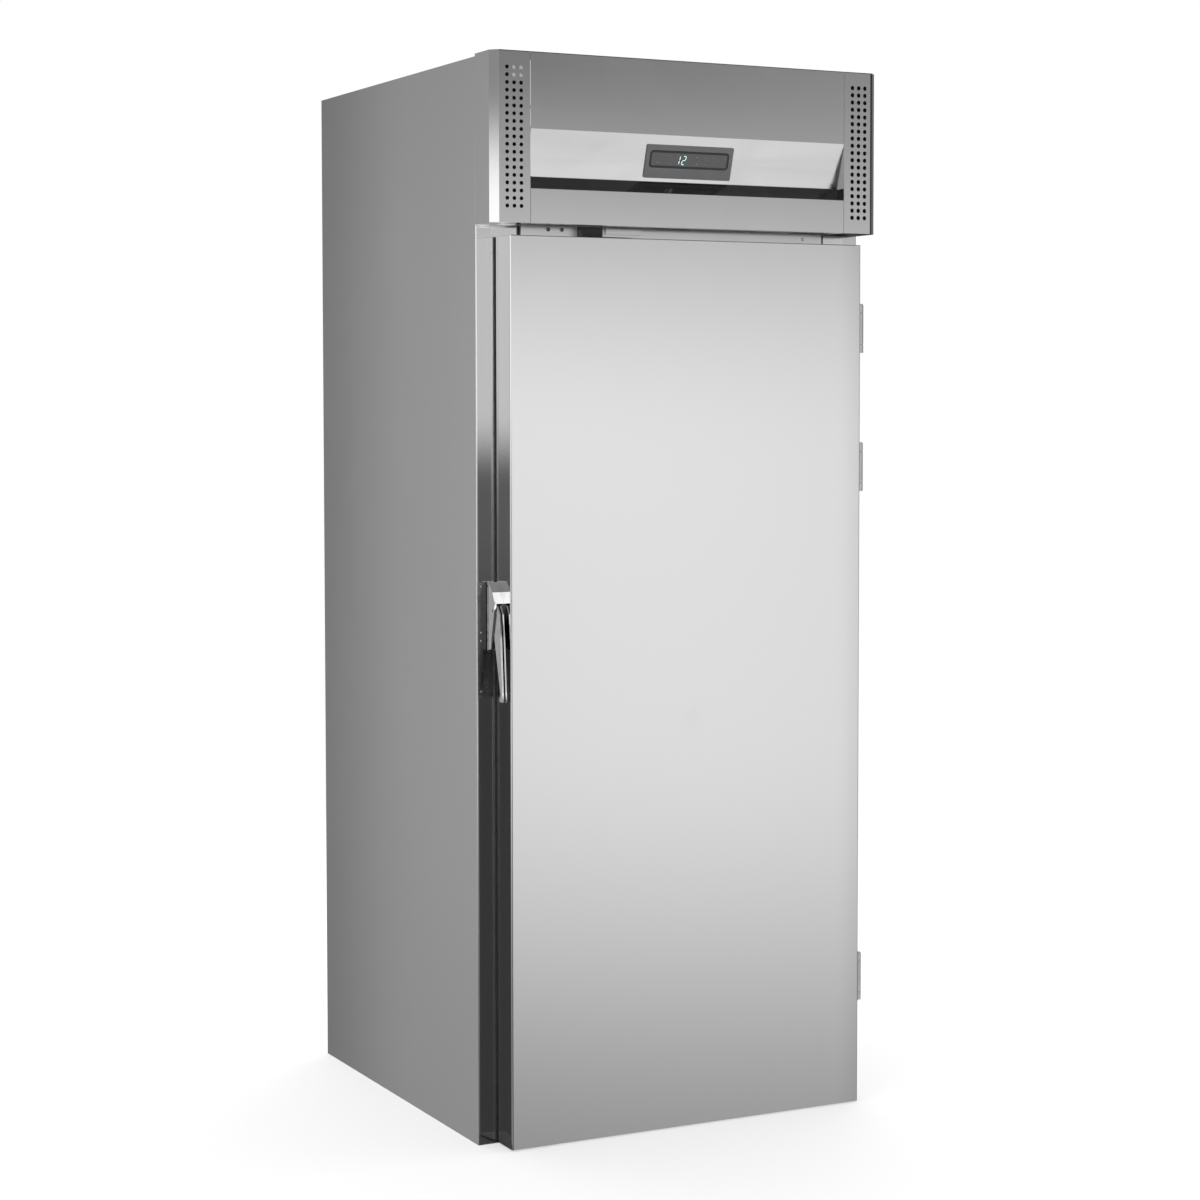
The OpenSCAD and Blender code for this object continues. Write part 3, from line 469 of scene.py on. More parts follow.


# Hood: two perforated end panels and the folded service flap between them, in the sides' sheet but
# brushed across. The flap, its band and the display swing up together. The air holes are a little
# wider than the solid's. Painted shade darkens the top strip of the front faces and the right
# end's folds, and the right end's front rim is painted dark.
hood_stainless = steel("hood_stainless", 0.56, 0.18, lines=(7, 900, 900), wave=0.0005)
take("hood_end_left", hood_stainless, 0.0003, wider=1.22)
polished(hood_stainless, (-0.707, -0.707, 0), 0.45)
end_stainless = steel("end_stainless", 0.56, 0.18, lines=(7, 900, 900), wave=0.0005)
take("hood_end_right", end_stainless, 0.0003, wider=1.38)
rim_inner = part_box("hood_end_right")[1].x - 0.0188
tree = end_stainless.node_tree
# Painted shade on the right end's down-facing and right chamfer faces; its front rim past
# rim_inner is darkened too.
folded = number(tree, "MAXIMUM", facing(tree, (0.707, -0.707, 0)), facing(tree, (0, 0, -1)))
paint_shade_by_mask(end_stainless, number(tree, "MULTIPLY_ADD", facing(tree, (0, -1, 0)),
                            beyond(tree, 0, rim_inner), folded, use_clamp=True), 0.06)


# Painted shade: darkens a thin strip at the top of the front-facing faces.
def painted_top_shade(paint, name, deep, tone=0.16):
    tree = paint.node_tree
    top = beyond(tree, 2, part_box(name)[1].z - deep)
    paint_shade_by_mask(paint, times(tree, facing(tree, (0, -1, 0)), top), tone)


for paint in (hood_stainless, end_stainless):
    painted_top_shade(paint, "service_flap", 0.0018)
polished(end_stainless, (-1, 0, 0), 4)
polished(end_stainless, (0, 0, -1), 5)
take("service_flap", hood_stainless, 0.0004, fold=12)
coat("hood_brackets", steel("bright_bracket", 0.70, 0.30, lines=(300, 300, 20), marks=0.2))


# Filter pads: a sheet of near-black open-cell foam behind each set of air holes, glued to the end
# panel's back; the near-black foam is also painted shade for the dark inside of the hood.
def bumped(shader, height, strength, deep):
    feed(shader, Normal=add(shader.id_data, "Bump", {"Strength": strength, "Distance": deep,
                            "Height": height}))


def cellular(name, rough, scale, dark, light, strength, deep):
    paint, tree, shader = material(name, Roughness=rough)
    cells = add(tree, "TexVoronoi", {"Vector": spot(tree), "Scale": scale}).outputs["Distance"]
    feed(shader, Base_Color=mixed(tree, cells, dark, light))
    bumped(shader, cells, strength, deep)
    return paint


def cuboid(low, high):
    work = bmesh.new()
    bmesh.ops.create_cube(work, size=1)
    bmesh.ops.scale(work, vec=[b - a for a, b in zip(low, high)], verts=work.verts)
    bmesh.ops.translate(work, vec=[(a + b) / 2 for a, b in zip(low, high)], verts=work.verts)
    return work


# Painted shade: the near-black pads darken what shows through the air holes.
shade_foam_pad = cellular("filter_pad_shade", 0.95, 520.0, 0.003, 0.02, 0.9, 0.0006)
hood_low, hood_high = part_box("hood_end_left")
outer, inner = abs(hood_low.x) - 0.018, abs(hood_low.x) - 0.078
for start, end in ((-outer, -inner), (inner, outer)):
    pad = formed("filter_pad_shade", cuboid((start, hood_low.y + 0.006, hood_low.z + 0.01),
                                      (end, hood_low.y + 0.010, hood_high.z - 0.01)), shade_foam_pad)
    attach(pad, "cabinet")

# Dark band: a strip of glossy moulded plastic under the display face, with a soft orange-peel skin
# and a few wiping marks. A thin plate of the same closes each end.
gloss, tree, shader = material("band_gloss", Roughness=0.08, Coat_Weight=0.3, Coat_Roughness=0.04)
place = spot(tree)
feed(shader, Base_Color=mixed(tree, marked(tree, place, 9.0, 0.4), (0.006, 0.006, 0.007),
                              (0.016, 0.016, 0.017)))
bumped(shader, add(tree, "TexNoise", {"Vector": place, "Scale": 260.0, "Detail": 2.0}), 0.25,
       0.00004)
take("trim_band", gloss, 0.0008, 3)
band_low, band_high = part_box("trim_band")
cap_thick = 0.001
cap_front, cap_top = band_low.y + 0.0003, band_high.z - 0.0003
cap_outline = ((cap_front, band_low.z + 0.001), (band_high.y - 0.002, cap_top),
               (cap_front, cap_top))
for start in (band_low.x, band_high.x - cap_thick):
    work = bmesh.new()
    ends = [[work.verts.new((x, y, z)) for y, z in cap_outline]
            for x in (start, start + cap_thick)]
    work.faces.new(ends[0])
    work.faces.new(ends[1][::-1])
    for n in range(3):
        m = (n + 1) % 3
        work.faces.new((ends[0][m], ends[0][n], ends[1][n], ends[1][m]))
    bmesh.ops.recalc_face_normals(work, faces=work.faces)
    cap = formed("band_cap", work, gloss)
    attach(cap, nodes["trim_band"]["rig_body"])


# Display: a grey moulded bezel snapped into the sloping face, a sunk dark rim and a smoked pane
# with lit figures and faint touch symbols. All are drawn flat in the bezel's own plane, x across
# and z up the slope, and then laid on it. The controller's case is behind.
def rubbed_edges(tree, start, end, wear):
    ridge = add(tree, "NewGeometry").outputs["Pointiness"]
    return ranged(tree, ridge, start, end, high=wear)


def lighter(tone, share, more):
    return tuple(min(1, v * share + more) for v in tone)


def moulded(name, tone, rough, grit=900.0, wear=0.3):
    paint, tree, shader = material(name)
    place = spot(tree)
    grains = add(tree, "TexNoise", {"Vector": place, "Scale": grit, "Detail": 2.0})
    body = mixed(tree, marked(tree, place, 14.0, 0.45), tone, lighter(tone, 1.2, 0.003))
    feed(shader, Base_Color=mixed(tree, rubbed_edges(tree, 0.52, 0.62, wear), body,
                                  lighter(tone, 1.8, 0.03)),
         Roughness=ranged(tree, grains, low=rough - 0.06, high=rough + 0.08))
    bumped(shader, grains, 0.5, 0.00006)
    return paint


def rounded(width, height, radius, drop=0.0, steps=8):
    points = []
    for cx, cz, start in ((1, 1, 0), (-1, 1, 90), (-1, -1, 180), (1, -1, 270)):
        for step in range(steps + 1):
            a = math.radians(start + 90 * step / steps)
            points.append((cx * (width / 2 - radius) + radius * math.cos(a),
                           drop + cz * (height / 2 - radius) + radius * math.sin(a)))
    return points


def plate(name, outline, back, front, paint, hole=None, soft=0.0003):
    work = bmesh.new()
    rings = [outline] + ([hole] if hole else [])
    loops = [[[work.verts.new((x, depth, z)) for x, z in ring] for ring in rings]
             for depth in (front, back)]
    strips = [(loops[0][n], loops[1][n]) for n in range(len(rings))]
    for first, second in strips + (loops if hole else []):
        for i, j in zip(range(len(first)), (*range(1, len(first)), 0)):
            work.faces.new((first[i], first[j], second[j], second[i]))
    if not hole:
        for loop in loops:
            work.faces.new(loop[0])
    bmesh.ops.recalc_face_normals(work, faces=work.faces)
    bmesh.ops.transform(work, matrix=display_frame, verts=work.verts)
    return softened(formed(name, work, paint), soft)


bezel_turn = Matrix.Rotation(math.atan2(0.027, 0.091), 4, "X")
bezel_low, bezel_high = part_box("display_bezel")
bezel_thick = 0.0025
display_frame = Matrix.Translation(
    (bezel_low + bezel_high) / 2 + bezel_turn @ Vector((0, bezel_thick / 2, 0))) @ bezel_turn
bezel_size = (0.198, 0.067)
pane_size = (0.181, 0.035)
pane_drop = 0.005
rim_wide = 0.0042
pane_outer = rounded(*pane_size, 0.007, pane_drop)
pane_inner = rounded(*(size - 2 * rim_wide for size in pane_size), 0.0035, pane_drop)
bezel_paint = moulded("bezel", (0.17, 0.172, 0.175), 0.36, grit=1400)
rim_paint = moulded("display_rim", (0.008, 0.008, 0.009), 0.3)
black_plastic = moulded("black_plastic", (0.012, 0.012, 0.013), 0.5)
coat("controller_case", black_plastic)
bezel = plate("bezel", rounded(*bezel_size, 0.003), 0, -bezel_thick, bezel_paint, pane_outer,
              0.0006)
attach(bezel, "service_flap")
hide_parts("display_bezel")

glass, tree, shader = material("display_glass", Roughness=0.06, Coat_Weight=0.4)
wiped = marked(tree, spot(tree), 30.0, 0.42)
feed(shader, Base_Color=mixed(tree, wiped, (0.055, 0.056, 0.058), (0.075, 0.076, 0.078)),
     Roughness=ranged(tree, wiped, low=0.06, high=0.16))
rim = plate("display_rim", pane_outer, 0, -0.0016, rim_paint, pane_inner)
pane = plate("display_pane", pane_inner, 0, -0.0020, glass, soft=0.0004)
for thing in (rim, pane):
    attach(thing, "service_flap")
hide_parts("display_window")

# Lit figures: seven-segment digits 1 and 2, leaning a little. A node tree sets one bar on the
# middle of each lit segment, along the segment, and its inputs are the bar's width and depth.
lit, tree, shader = material("display_light", Base_Color=(0.02, 0.02, 0.02, 1),
                             Emission_Strength=1.6)
glow = add(tree, "TexNoise", {"Vector": spot(tree), "Scale": 600.0, "Detail": 1.0})
feed(shader, Emission_Color=mixed(tree, glow, (0.50, 0.86, 0.90), (0.80, 1.0, 1.0)))


def new_tree(name, inputs):
    return new_group(name, {**inputs, "Material": "Material"}, "Geometry", "Geometry")


def geo(tree, kind, inputs=None, **settings):
    return new_node(tree, "GeometryNode" + kind, inputs, **settings)


def xyz(tree, x=0.0, y=0.0, z=0.0):
    return add(tree, "CombineXYZ", {0: x, 1: y, 2: z})


def joined(tree, *parts, kind="JoinGeometry", socket=0, **settings):
    join = geo(tree, kind, **settings)
    for part in parts:
        tree.links.new(out(part), join.inputs[socket])
    return join


def moved(tree, shape, **ways):
    return geo(tree, "Transform", {"Geometry": shape, **ways})


def spread(tree, points, shape, **ways):
    return geo(tree, "InstanceOnPoints", {"Points": points, "Instance": shape, **ways})


def close_tree(tree, given, ends_out, shape):
    real = geo(tree, "RealizeInstances", {0: shape})
    close_group(tree, ends_out, geo(tree, "SetMaterial", {"Geometry": real,
                                    "Material": given["Material"]}))


def grown(name, tree, values, points, body="cabinet", turned=None, stands=(),
          edges=()):
    mesh = bpy.data.meshes.new(name)
    mesh.from_pydata([p[:3] for p in points], edges, [])
    for place, name_of in ((3, "turn"), (4, "long")):
        if len(points[0]) > place:
            kept = mesh.attributes.new(name_of, "FLOAT", "POINT")
            kept.data.foreach_set("value", [p[place] for p in points])
    thing = link(name, mesh)
    grow = thing.modifiers.new(name, "NODES")
    grow.node_group = tree
    for item in tree.interface.items_tree:
        if item.in_out == "INPUT" and item.name in values:
            grow[item.identifier] = values[item.name]
    plain_mesh(thing)
    if turned:
        thing.data.transform(turned)
    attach(thing, body)
    if stands:
        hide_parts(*stands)
    return thing


bar_tree, given, ends_out = new_tree("segments", {
    "Points": "Geometry", "Width": 0.001, "Depth": 0.0003})
bar = geo(bar_tree, "MeshCylinder", {"Vertices": 6, "Radius": 0.5, "Depth": given["Depth"]})
length, named = [geo(bar_tree, "InputNamedAttribute", {"Name": name}, data_type="FLOAT")
                 for name in ("long", "turn")]
close_tree(bar_tree, given, ends_out, spread(
    bar_tree, given["Points"], bar, Rotation=xyz(bar_tree, math.radians(90), named),
    Scale=xyz(bar_tree, length, given["Width"], 1.0)))
digit_high = 0.0170
digit_wide = 0.0064
digit_drop = 0.0041
bar_gap = 0.0004
figure_out = -0.0021
lean = 0.20
segments = {"a": (0, 1, 0), "b": (1, 0.5, 90), "c": (1, -0.5, 90), "d": (0, -1, 0),
            "e": (-1, -0.5, 90), "f": (-1, 0.5, 90), "g": (0, 0, 0)}
points = []
for middle, shown in ((-0.0254, "bc"), (-0.0124, "abged")):
    for letter in shown:
        sx, sz, turned = segments[letter]
        z = sz * digit_high / 2
        x = middle + sx * digit_wide / 2 + z * lean
        points.append((x, figure_out, z + digit_drop,
                       -math.radians(turned) + (lean if turned else 0),
                       (digit_high / 2 if turned else digit_wide) - bar_gap))
grown("display_figures", bar_tree, {"Width": 0.0014, "Material": lit}, points, "service_flap",
      display_frame)

# Touch symbols: small pale printed strokes beside the figures, drawn from the same bars. Each
# stroke is its shift from the symbol's middle, in stroke steps, and its turn in degrees.
print_paint = moulded("display_print", (0.30, 0.31, 0.32), 0.5)
symbols = {
    (0.0174, 0.0118): [(-1, -0.3, -50), (1, -0.3, 50), (0, -1.2, 0)],
    (0.0354, 0.0118): [(0, 0, 0), (0, 0, 60), (0, 0, 120)],
    (0.0537, 0.0118): [(-0.8, -0.4, -50), (0.8, -0.4, 50)],
    (0.0174, -0.0025): [(-1, 0, 90), (1, 0, 90), (0, 1, 0), (0, -1, 0)],
    (0.0354, -0.0025): [(0, 0.8, 90), (0, -0.6, 0)],
    (0.0537, -0.0025): [(-0.8, 0.4, 50), (0.8, 0.4, -50)],
    (-0.0455, 0.0128): [(0, 0, 0)],
    (-0.0720, -0.0015): [(-1.5, 0, 0), (1, 0, 0), (3.6, 0.3, 0)]}
stroke_step, stroke_long = 0.0012, 0.0026
points = [(x + dx * stroke_step, figure_out, z + dz * stroke_step, math.radians(turned),
           stroke_long) for (x, z), strokes in symbols.items() for dx, dz, turned in strokes]
grown("display_symbols", bar_tree, {"Width": 0.0007, "Material": print_paint}, points,
      "service_flap", display_frame)


# Over the door: the cover strip of the top rail with a black strip at both ends as painted shade
# for the gaps there, held by three small screws, the black door switch with its plunger and the
# grey plate beside it.
frame_stainless = steel("frame_stainless", 0.60, 0.16)
rail_stainless = steel("rail_stainless", 0.60, 0.30, lines=(7, 900, 900))
take("top_rail_cover", rail_stainless, 0.0006)
switch = take("door_switch", moulded("switch_plastic", (0.010, 0.010, 0.011), 0.38),
              0.0008)
plate_start = -0.177
switch.data.materials.append(rail_stainless)
for face in switch.data.polygons:
    face.material_index = int(face.center.x > plate_start)
cover_low, cover_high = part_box("top_rail_cover")
slot_wide = 0.0036
slot_front = cover_high.y - 0.0003
# Painted shade: black blocks at the cover's ends stand in for the shaded gaps.
for x, deep in ((cover_low.x - slot_wide, 0.003), (cover_high.x, 0.0115)):
    strip = formed("end_slot_shade", cuboid((x, slot_front - deep, cover_low.z),
                                      (x + slot_wide, slot_front, cover_high.z)), black_plastic)
    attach(strip, "cabinet")
coat("switch_plunger", black_plastic)

# Door opening: stainless facing, the black thermal break strip inside it, the dull steel rails
# under the walls and the entry ramp.
take("front_frame", frame_stainless, 0.0003)
coat("breaker_strip", black_plastic)


def plated(name, tone, rough, spangle=60.0, hue=(1.0, 1.0, 1.0)):
    paint, tree, shader = material(name, Metallic=1.0)
    place = spot(tree)
    flakes = add(tree, "TexVoronoi", {"Vector": place, "Scale": spangle}).outputs["Color"]
    cloud = marked(tree, place, 16.0, 0.5)
    low, high, aged = [tuple(tone * share * c for c in hue) for share in (0.82, 1.06, 0.615)]
    feed(shader, Base_Color=mixed(tree, cloud, mixed(tree, flakes, low, high), aged),
         Roughness=ranged(tree, cloud, low=rough, high=rough + 0.15))
    return paint


zinc = plated("zinc_steel", 0.55, 0.38)
for name in ("base_rails", "entry_ramp", "machine_deck", "unit_base", "flap_pins"):
    coat(name, zinc)


# Hinges: three cast lift-off hinges with satin faces, polished where hands and cloths reach, and
# the steel pins in them.
def satin(name, tone, rough, wear=0.5, **constants):
    paint, tree, shader = material(name, **{"Metallic": 1.0, **constants})
    place = spot(tree)
    blast = add(tree, "TexNoise", {"Vector": place, "Scale": 1600.0, "Detail": 2.0})
    rubbed = rubbed_edges(tree, 0.51, 0.6, wear)
    body = mixed(tree, marked(tree, place, 30.0, 0.45), tone, tone * 0.8)
    feed(shader, Base_Color=mixed(tree, rubbed, body, 0.85),
         Roughness=ranged(tree, rubbed, low=rough, high=rough / 2))
    bumped(shader, blast, 0.4, 0.00004)
    return paint


hinge_metal = satin("hinge_metal", 0.62, 0.34)
for name in ("hinge_frame_leaves", "hinge_door_leaves"):
    take(name, hinge_metal, 0.001, 3, flat=False)
take("hinge_pins", satin("pin_metal", 0.5, 0.25), 0.0006, 2, flat=False)


# Door: a folded stainless tray, brushed downwards, over the foam core, with its inner sheet. The
# long sheet is not quite flat, so what it mirrors bends a little. Painted shade darkens a thin
# strip along its top edge and the part towards the hinges.
door_stainless = steel("door_stainless", 0.60, 0.17, wave=0.00025, marks=0.15)
take("door_shell", door_stainless, 0.0004, 3)
polished(door_stainless, (-1, 0, 0), 0.35)
# Painted shade: a thin dark strip along the door's top edge.
painted_top_shade(door_stainless, "door_shell", 0.0017)
tree = door_stainless.node_tree
# Painted shade: the base colour darkens towards the hinge side.
painted_shade_start, painted_shade_long, painted_shade_share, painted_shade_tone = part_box("door_shell")[1].x - 0.06, 0.075, 0.45, 0.42
paint_shade_by_mask(door_stainless, times(tree, beyond(tree, 0, painted_shade_start, painted_shade_long), painted_shade_share), painted_shade_tone)
foam = cellular("foam", 0.9, 700.0, (0.62, 0.47, 0.20), (0.80, 0.66, 0.36), 0.8, 0.0004)
for name in ("door_core", "foam_sides", "foam_back", "foam_roof"):
    coat(name, foam)
liner_stainless = steel("liner_stainless", 0.62, 0.33, wave=0.0003)
coat("door_liner", liner_stainless)


# Door gasket: one soft dark grey profile welded at the corners, with a flat foot, a bellows fold
# and a rounded magnet bar that meets the frame.
gasket_low, gasket_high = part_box("door_gasket")
gasket_wide = 0.014
gasket_deep = gasket_high.y - gasket_low.y
half_profile = [(0.0, 0.0), (0.0, 0.10), (0.06, 0.22), (0.20, 0.26), (0.26, 0.36), (0.14, 0.46),
                (0.02, 0.56), (0.0, 0.72), (0.02, 0.88), (0.10, 0.97), (0.22, 1.0)]
profile = half_profile + [(1 - across, deep) for across, deep in reversed(half_profile)]
work = bmesh.new()
rows = []
for across, deep in profile:
    inset = across * gasket_wide
    y = gasket_low.y + deep * gasket_deep
    left, right = gasket_low.x + inset, gasket_high.x - inset
    foot, top = gasket_low.z + inset, gasket_high.z - inset
    rows.append([work.verts.new((x, y, z)) for x, z in (
        (left, foot), (right, foot), (right, top), (left, top))])
for first, second in zip(rows, rows[1:] + rows[:1]):
    for i in range(4):
        j = (i + 1) % 4
        work.faces.new((first[i], first[j], second[j], second[i]))
bmesh.ops.recalc_face_normals(work, faces=work.faces)
gasket = formed("gasket_profile", work,
                moulded("gasket_rubber", (0.060, 0.060, 0.063), 0.55, grit=500.0), crease=50)
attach(gasket, "door")
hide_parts("door_gasket")


# Latch: a chromed die-cast body on the door's edge, its polished lever, the pivot pin and the
# satin strike plate on the frame, whose near-black colour is a painted dark reflection. The lever
# is made of three slices, and the middle one is a sunk groove painted near-black as painted shade.
latch_chrome = satin("latch_chrome", 0.84, 0.05, wear=0.2)
leaning(latch_chrome, (-1, 0, 0), (0, -0.30, 0))
take("latch_body", latch_chrome, 0.0010, 3, fold=12)
# Painted shade: the groove slice is near-black to show the shade in the sunk groove.
groove_shade_paint = moulded("latch_groove_shade", (0.004, 0.004, 0.004), 0.6)
lever_low, lever_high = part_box("latch_lever")
lever_wide = lever_high.x - lever_low.x
groove_top = 1.022
groove_start, groove_end, groove_deep = 0.30, 0.74, 0.0008
for first, last, sunk, paint in (
        (0.0, groove_start, 0.0, latch_chrome),
        (groove_start, groove_end, groove_deep, groove_shade_paint),
        (groove_end, 1.0, 0.0, latch_chrome)):
    work = merged("latch_lever")
    bmesh.ops.bisect_plane(work, geom=work.verts[:] + work.edges[:] + work.faces[:],
                           plane_co=(0, 0, groove_top), plane_no=(0, 0, 1))
    work.normal_update()
    ways = {vert: vert.normal.copy() for vert in work.verts}
    for vert, way in ways.items():
        share = (vert.co.x - lever_low.x) / lever_wide
        vert.co.x = lever_low.x + lever_wide * (first + (last - first) * share)
        if sunk and vert.co.z < groove_top + 0.0001:
            way.x = 0
            vert.co -= way.normalized() * sunk
    piece = softened(formed("lever_slice", work, paint), 0.0005, fold=12)
    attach(piece, "latch_lever")
    if first == 0:
        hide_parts("latch_lever")
take("latch_pin", satin("pivot_metal", 0.55, 0.2), 0.0005, 2, flat=False)
# Painted reflection: the plate's base tone is near black, for the dark surroundings it mirrors.
take("strike_plate", plated("strike_metal", 0.16, 0.22, spangle=400), 0.0006)


# Inside: brushed stainless inner sheets with bumper rails, and a thin floor pan, which has the
# most wiping marks.
for name in ("liner_sides", "liner_back", "liner_ceiling"):
    coat(name, liner_stainless)
take("bumper_rails", steel("rail_steel", 0.62, 0.28, lines=(900, 7, 900)),
     0.0005)
coat("floor_pan", steel("pan_steel", 0.55, 0.36, lines=(900, 7, 900), marks=0.5, drawn=0.0))


# Air unit cover: one folded stainless box hung on the back wall, brushed upright, with a pressed
# lip over each intake slot and two round fan outlets above them.
cover_steel = steel("cover_steel", 0.62, 0.24, marks=0.3)
take("evaporator_cover", cover_steel, 0.0006)
cover_low, cover_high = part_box("evaporator_cover")
lip_tree, given, ends_out = new_tree("louvre_lips", {
    "Points": "Geometry", "Length": 0.21, "Reach": 0.009, "Sheet": 0.0008, "Lean": 0.6})
lip = geo(lip_tree, "MeshCube", {"Size": xyz(lip_tree, given["Length"], given["Sheet"],
                                             given["Reach"])})
close_tree(lip_tree, given, ends_out, spread(lip_tree, given["Points"], lip,
                                             Rotation=xyz(lip_tree, given["Lean"])))
slots_x, slots_start, slots_step = 0.165, 0.0985, 0.026
grown("louvre_lips", lip_tree, {"Lean": -math.radians(34), "Material": cover_steel},
      [(side * slots_x, cover_low.y - 0.0024, cover_low.z + slots_start + row * slots_step)
       for side in (-1, 1) for row in range(8)])

# Cooling coil inside the cover: thin aluminium fins on copper tubes that turn back in hairpins at
# both ends. The same trees make the condenser.
fin_tree, given, ends_out = new_tree("fin_pack", {
    "Points": "Geometry", "Width": 0.4, "Depth": 0.04, "Height": 0.5, "Pitch": 0.005,
    "Sheet": 0.0004})
half = times(fin_tree, given["Width"], -0.5)
count = number(fin_tree, "ADD", number(fin_tree, "DIVIDE", given["Width"], given["Pitch"]), 1.0)
line = geo(fin_tree, "MeshLine", {"Count": count, "Start Location": xyz(fin_tree, half),
           "Offset": xyz(fin_tree, given["Pitch"])}, mode="OFFSET")
fin = geo(fin_tree, "MeshCube", {"Size": xyz(fin_tree, given["Sheet"], given["Depth"],
                                             given["Height"])})
close_tree(fin_tree, given, ends_out,
           spread(fin_tree, given["Points"], spread(fin_tree, line, fin)))

tube_tree, given, ends_out = new_tree("hairpin_tubes", {
    "Points": "Geometry", "Width": 0.4, "Depth": 0.02, "Radius": 0.004})
bend_radius = times(tube_tree, given["Depth"], 0.5)
half = times(tube_tree, given["Width"], 0.5)
bend = geo(tube_tree, "CurveArc", {"Resolution": 9, "Radius": bend_radius,
           "Start Angle": -math.pi / 2, "Sweep Angle": math.pi}, mode="RADIUS")
right_bend = moved(tube_tree, bend, Translation=xyz(tube_tree, half))
left_bend = moved(tube_tree, right_bend, Rotation=(0, 0, math.pi))
straight = []
for side in (-1, 1):
    y = times(tube_tree, bend_radius, side)
    start = xyz(tube_tree, times(tube_tree, half, -1.0), y)
    straight.append(geo(tube_tree, "CurvePrimitiveLine", {"Start": start,
                        "End": xyz(tube_tree, half, y)}))


def drawn_tube(tree, path, radius, sides, **caps):
    ring = geo(tree, "CurvePrimitiveCircle", {"Resolution": sides, "Radius": radius},
               mode="RADIUS")
    tube = geo(tree, "CurveToMesh", {"Curve": path, "Profile Curve": ring, **caps})
    return geo(tree, "SetShadeSmooth", {0: tube})


close_tree(tube_tree, given, ends_out, spread(
    tube_tree, given["Points"], drawn_tube(
        tube_tree, joined(tube_tree, right_bend, left_bend, *straight), given["Radius"], 10)))

fin_metal = plated("fin_aluminium", 0.78, 0.30, spangle=9.0)
copper = plated("copper", 0.80, 0.28, spangle=14.0, hue=(1.0, 0.60, 0.42))


def finned(name, width, depth, height, centre, pitch, side_depth):
    x, y, z = centre
    grown(name + "_fins", fin_tree, {"Width": width, "Depth": depth, "Height": height,
          "Pitch": pitch, "Material": fin_metal}, [centre],
          stands=(name + "_coil",))
    rows = int(height / 0.03)
    levels = [(x, y, z + (row + 0.5) * height / rows - height / 2) for row in range(rows)]
    grown(name + "_tubes", tube_tree, {"Width": width + 0.004, "Depth": depth * 0.5,
          "Radius": 0.0040, "Material": copper}, levels)
    grown(name + "_ends", fin_tree, {"Width": width + 0.001, "Depth": side_depth,
          "Height": height, "Pitch": width + 0.001, "Sheet": 0.0016, "Material": zinc}, [centre])


coil_low, coil_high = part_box("evaporator_coil")
finned("evaporator", 0.424, 0.036, coil_high.z - coil_low.z - 0.014,
       (0, coil_high.y - 0.024, (coil_low.z + coil_high.z) / 2 + 0.005), 0.004, 0.042)
take("drain_pan", steel("pan_stainless", 0.60, 0.30, lines=(7, 900, 900)),
     0.0004)
coat("drain_tube", black_plastic)


# Fans: a pressed hub with cambered, twisted blades on each spinning body, in moulded black guards
# for the two air unit fans. A blade is a flat grid, one unit deep, that is bent round the hub.
wheel_tree, given, ends_out = new_tree("fan_wheel", {
    "Points": "Geometry", "Blades": 5, "Radius": 0.079, "Hub": 0.02, "Hub Depth": 0.022,
    "Chord": 0.036, "Pitch": 0.5, "Camber": 0.003, "Sheet": 0.0012})


def wheel_sum(operation, *values):
    return number(wheel_tree, operation, *values)


span = wheel_sum("SUBTRACT", given["Radius"], given["Hub"])
blade = geo(wheel_tree, "MeshGrid", {"Size X": span, "Size Y": 1.0, "Vertices X": 9,
            "Vertices Y": 11})
place = add(wheel_tree, "SeparateXYZ", {0: geo(wheel_tree, "InputPosition")})
deep = place.outputs[1]
along = wheel_sum("ADD", wheel_sum("DIVIDE", place, span), 0.5)
reach = wheel_sum("MULTIPLY_ADD", along, span, wheel_sum("SUBTRACT", given["Hub"], 0.001))
chord = wheel_sum("MULTIPLY", deep, wheel_sum(
    "MULTIPLY", given["Chord"], wheel_sum("MULTIPLY_ADD", along, 0.45, 0.55)))
bulge = wheel_sum("MULTIPLY", given["Camber"], wheel_sum("SUBTRACT", 1.0, wheel_sum(
    "MULTIPLY", 4.0, wheel_sum("MULTIPLY", deep, deep))))
twist = wheel_sum("MULTIPLY", given["Pitch"], wheel_sum("MULTIPLY_ADD", along, -0.35, 1.2))
cosine, sine = wheel_sum("COSINE", twist), wheel_sum("SINE", twist)
sideways = wheel_sum("SUBTRACT", wheel_sum("MULTIPLY", chord, cosine),
                     wheel_sum("MULTIPLY", bulge, sine))
upward = wheel_sum("ADD", wheel_sum("MULTIPLY", chord, sine),
                   wheel_sum("MULTIPLY", bulge, cosine))
angle = wheel_sum("DIVIDE", sideways, reach)
bent = geo(wheel_tree, "SetPosition", {"Geometry": blade, "Position": xyz(
    wheel_tree, wheel_sum("MULTIPLY", reach, wheel_sum("COSINE", angle)),
    wheel_sum("MULTIPLY", reach, wheel_sum("SINE", angle)), upward)})
raised = geo(wheel_tree, "ExtrudeMesh", {"Mesh": bent, "Offset Scale": given["Sheet"],
             "Individual": False}, mode="FACES")
whole = joined(wheel_tree, raised, geo(wheel_tree, "FlipFaces", {"Mesh": bent}))
closed = geo(wheel_tree, "MergeByDistance", {"Geometry": whole, "Distance": 0.00001})
round_it = geo(wheel_tree, "MeshLine", {"Count": given["Blades"], "Offset": (0, 0, 0)},
               mode="OFFSET")
share = wheel_sum("DIVIDE", math.tau, given["Blades"])
blades = spread(wheel_tree, round_it, closed, Rotation=xyz(wheel_tree, z=wheel_sum(
    "MULTIPLY", geo(wheel_tree, "InputIndex"), share)))
hub = geo(wheel_tree, "MeshCylinder", {"Vertices": 40, "Radius": given["Hub"],
          "Depth": given["Hub Depth"]})
cap_radius = wheel_sum("MULTIPLY", given["Hub"], 0.82)
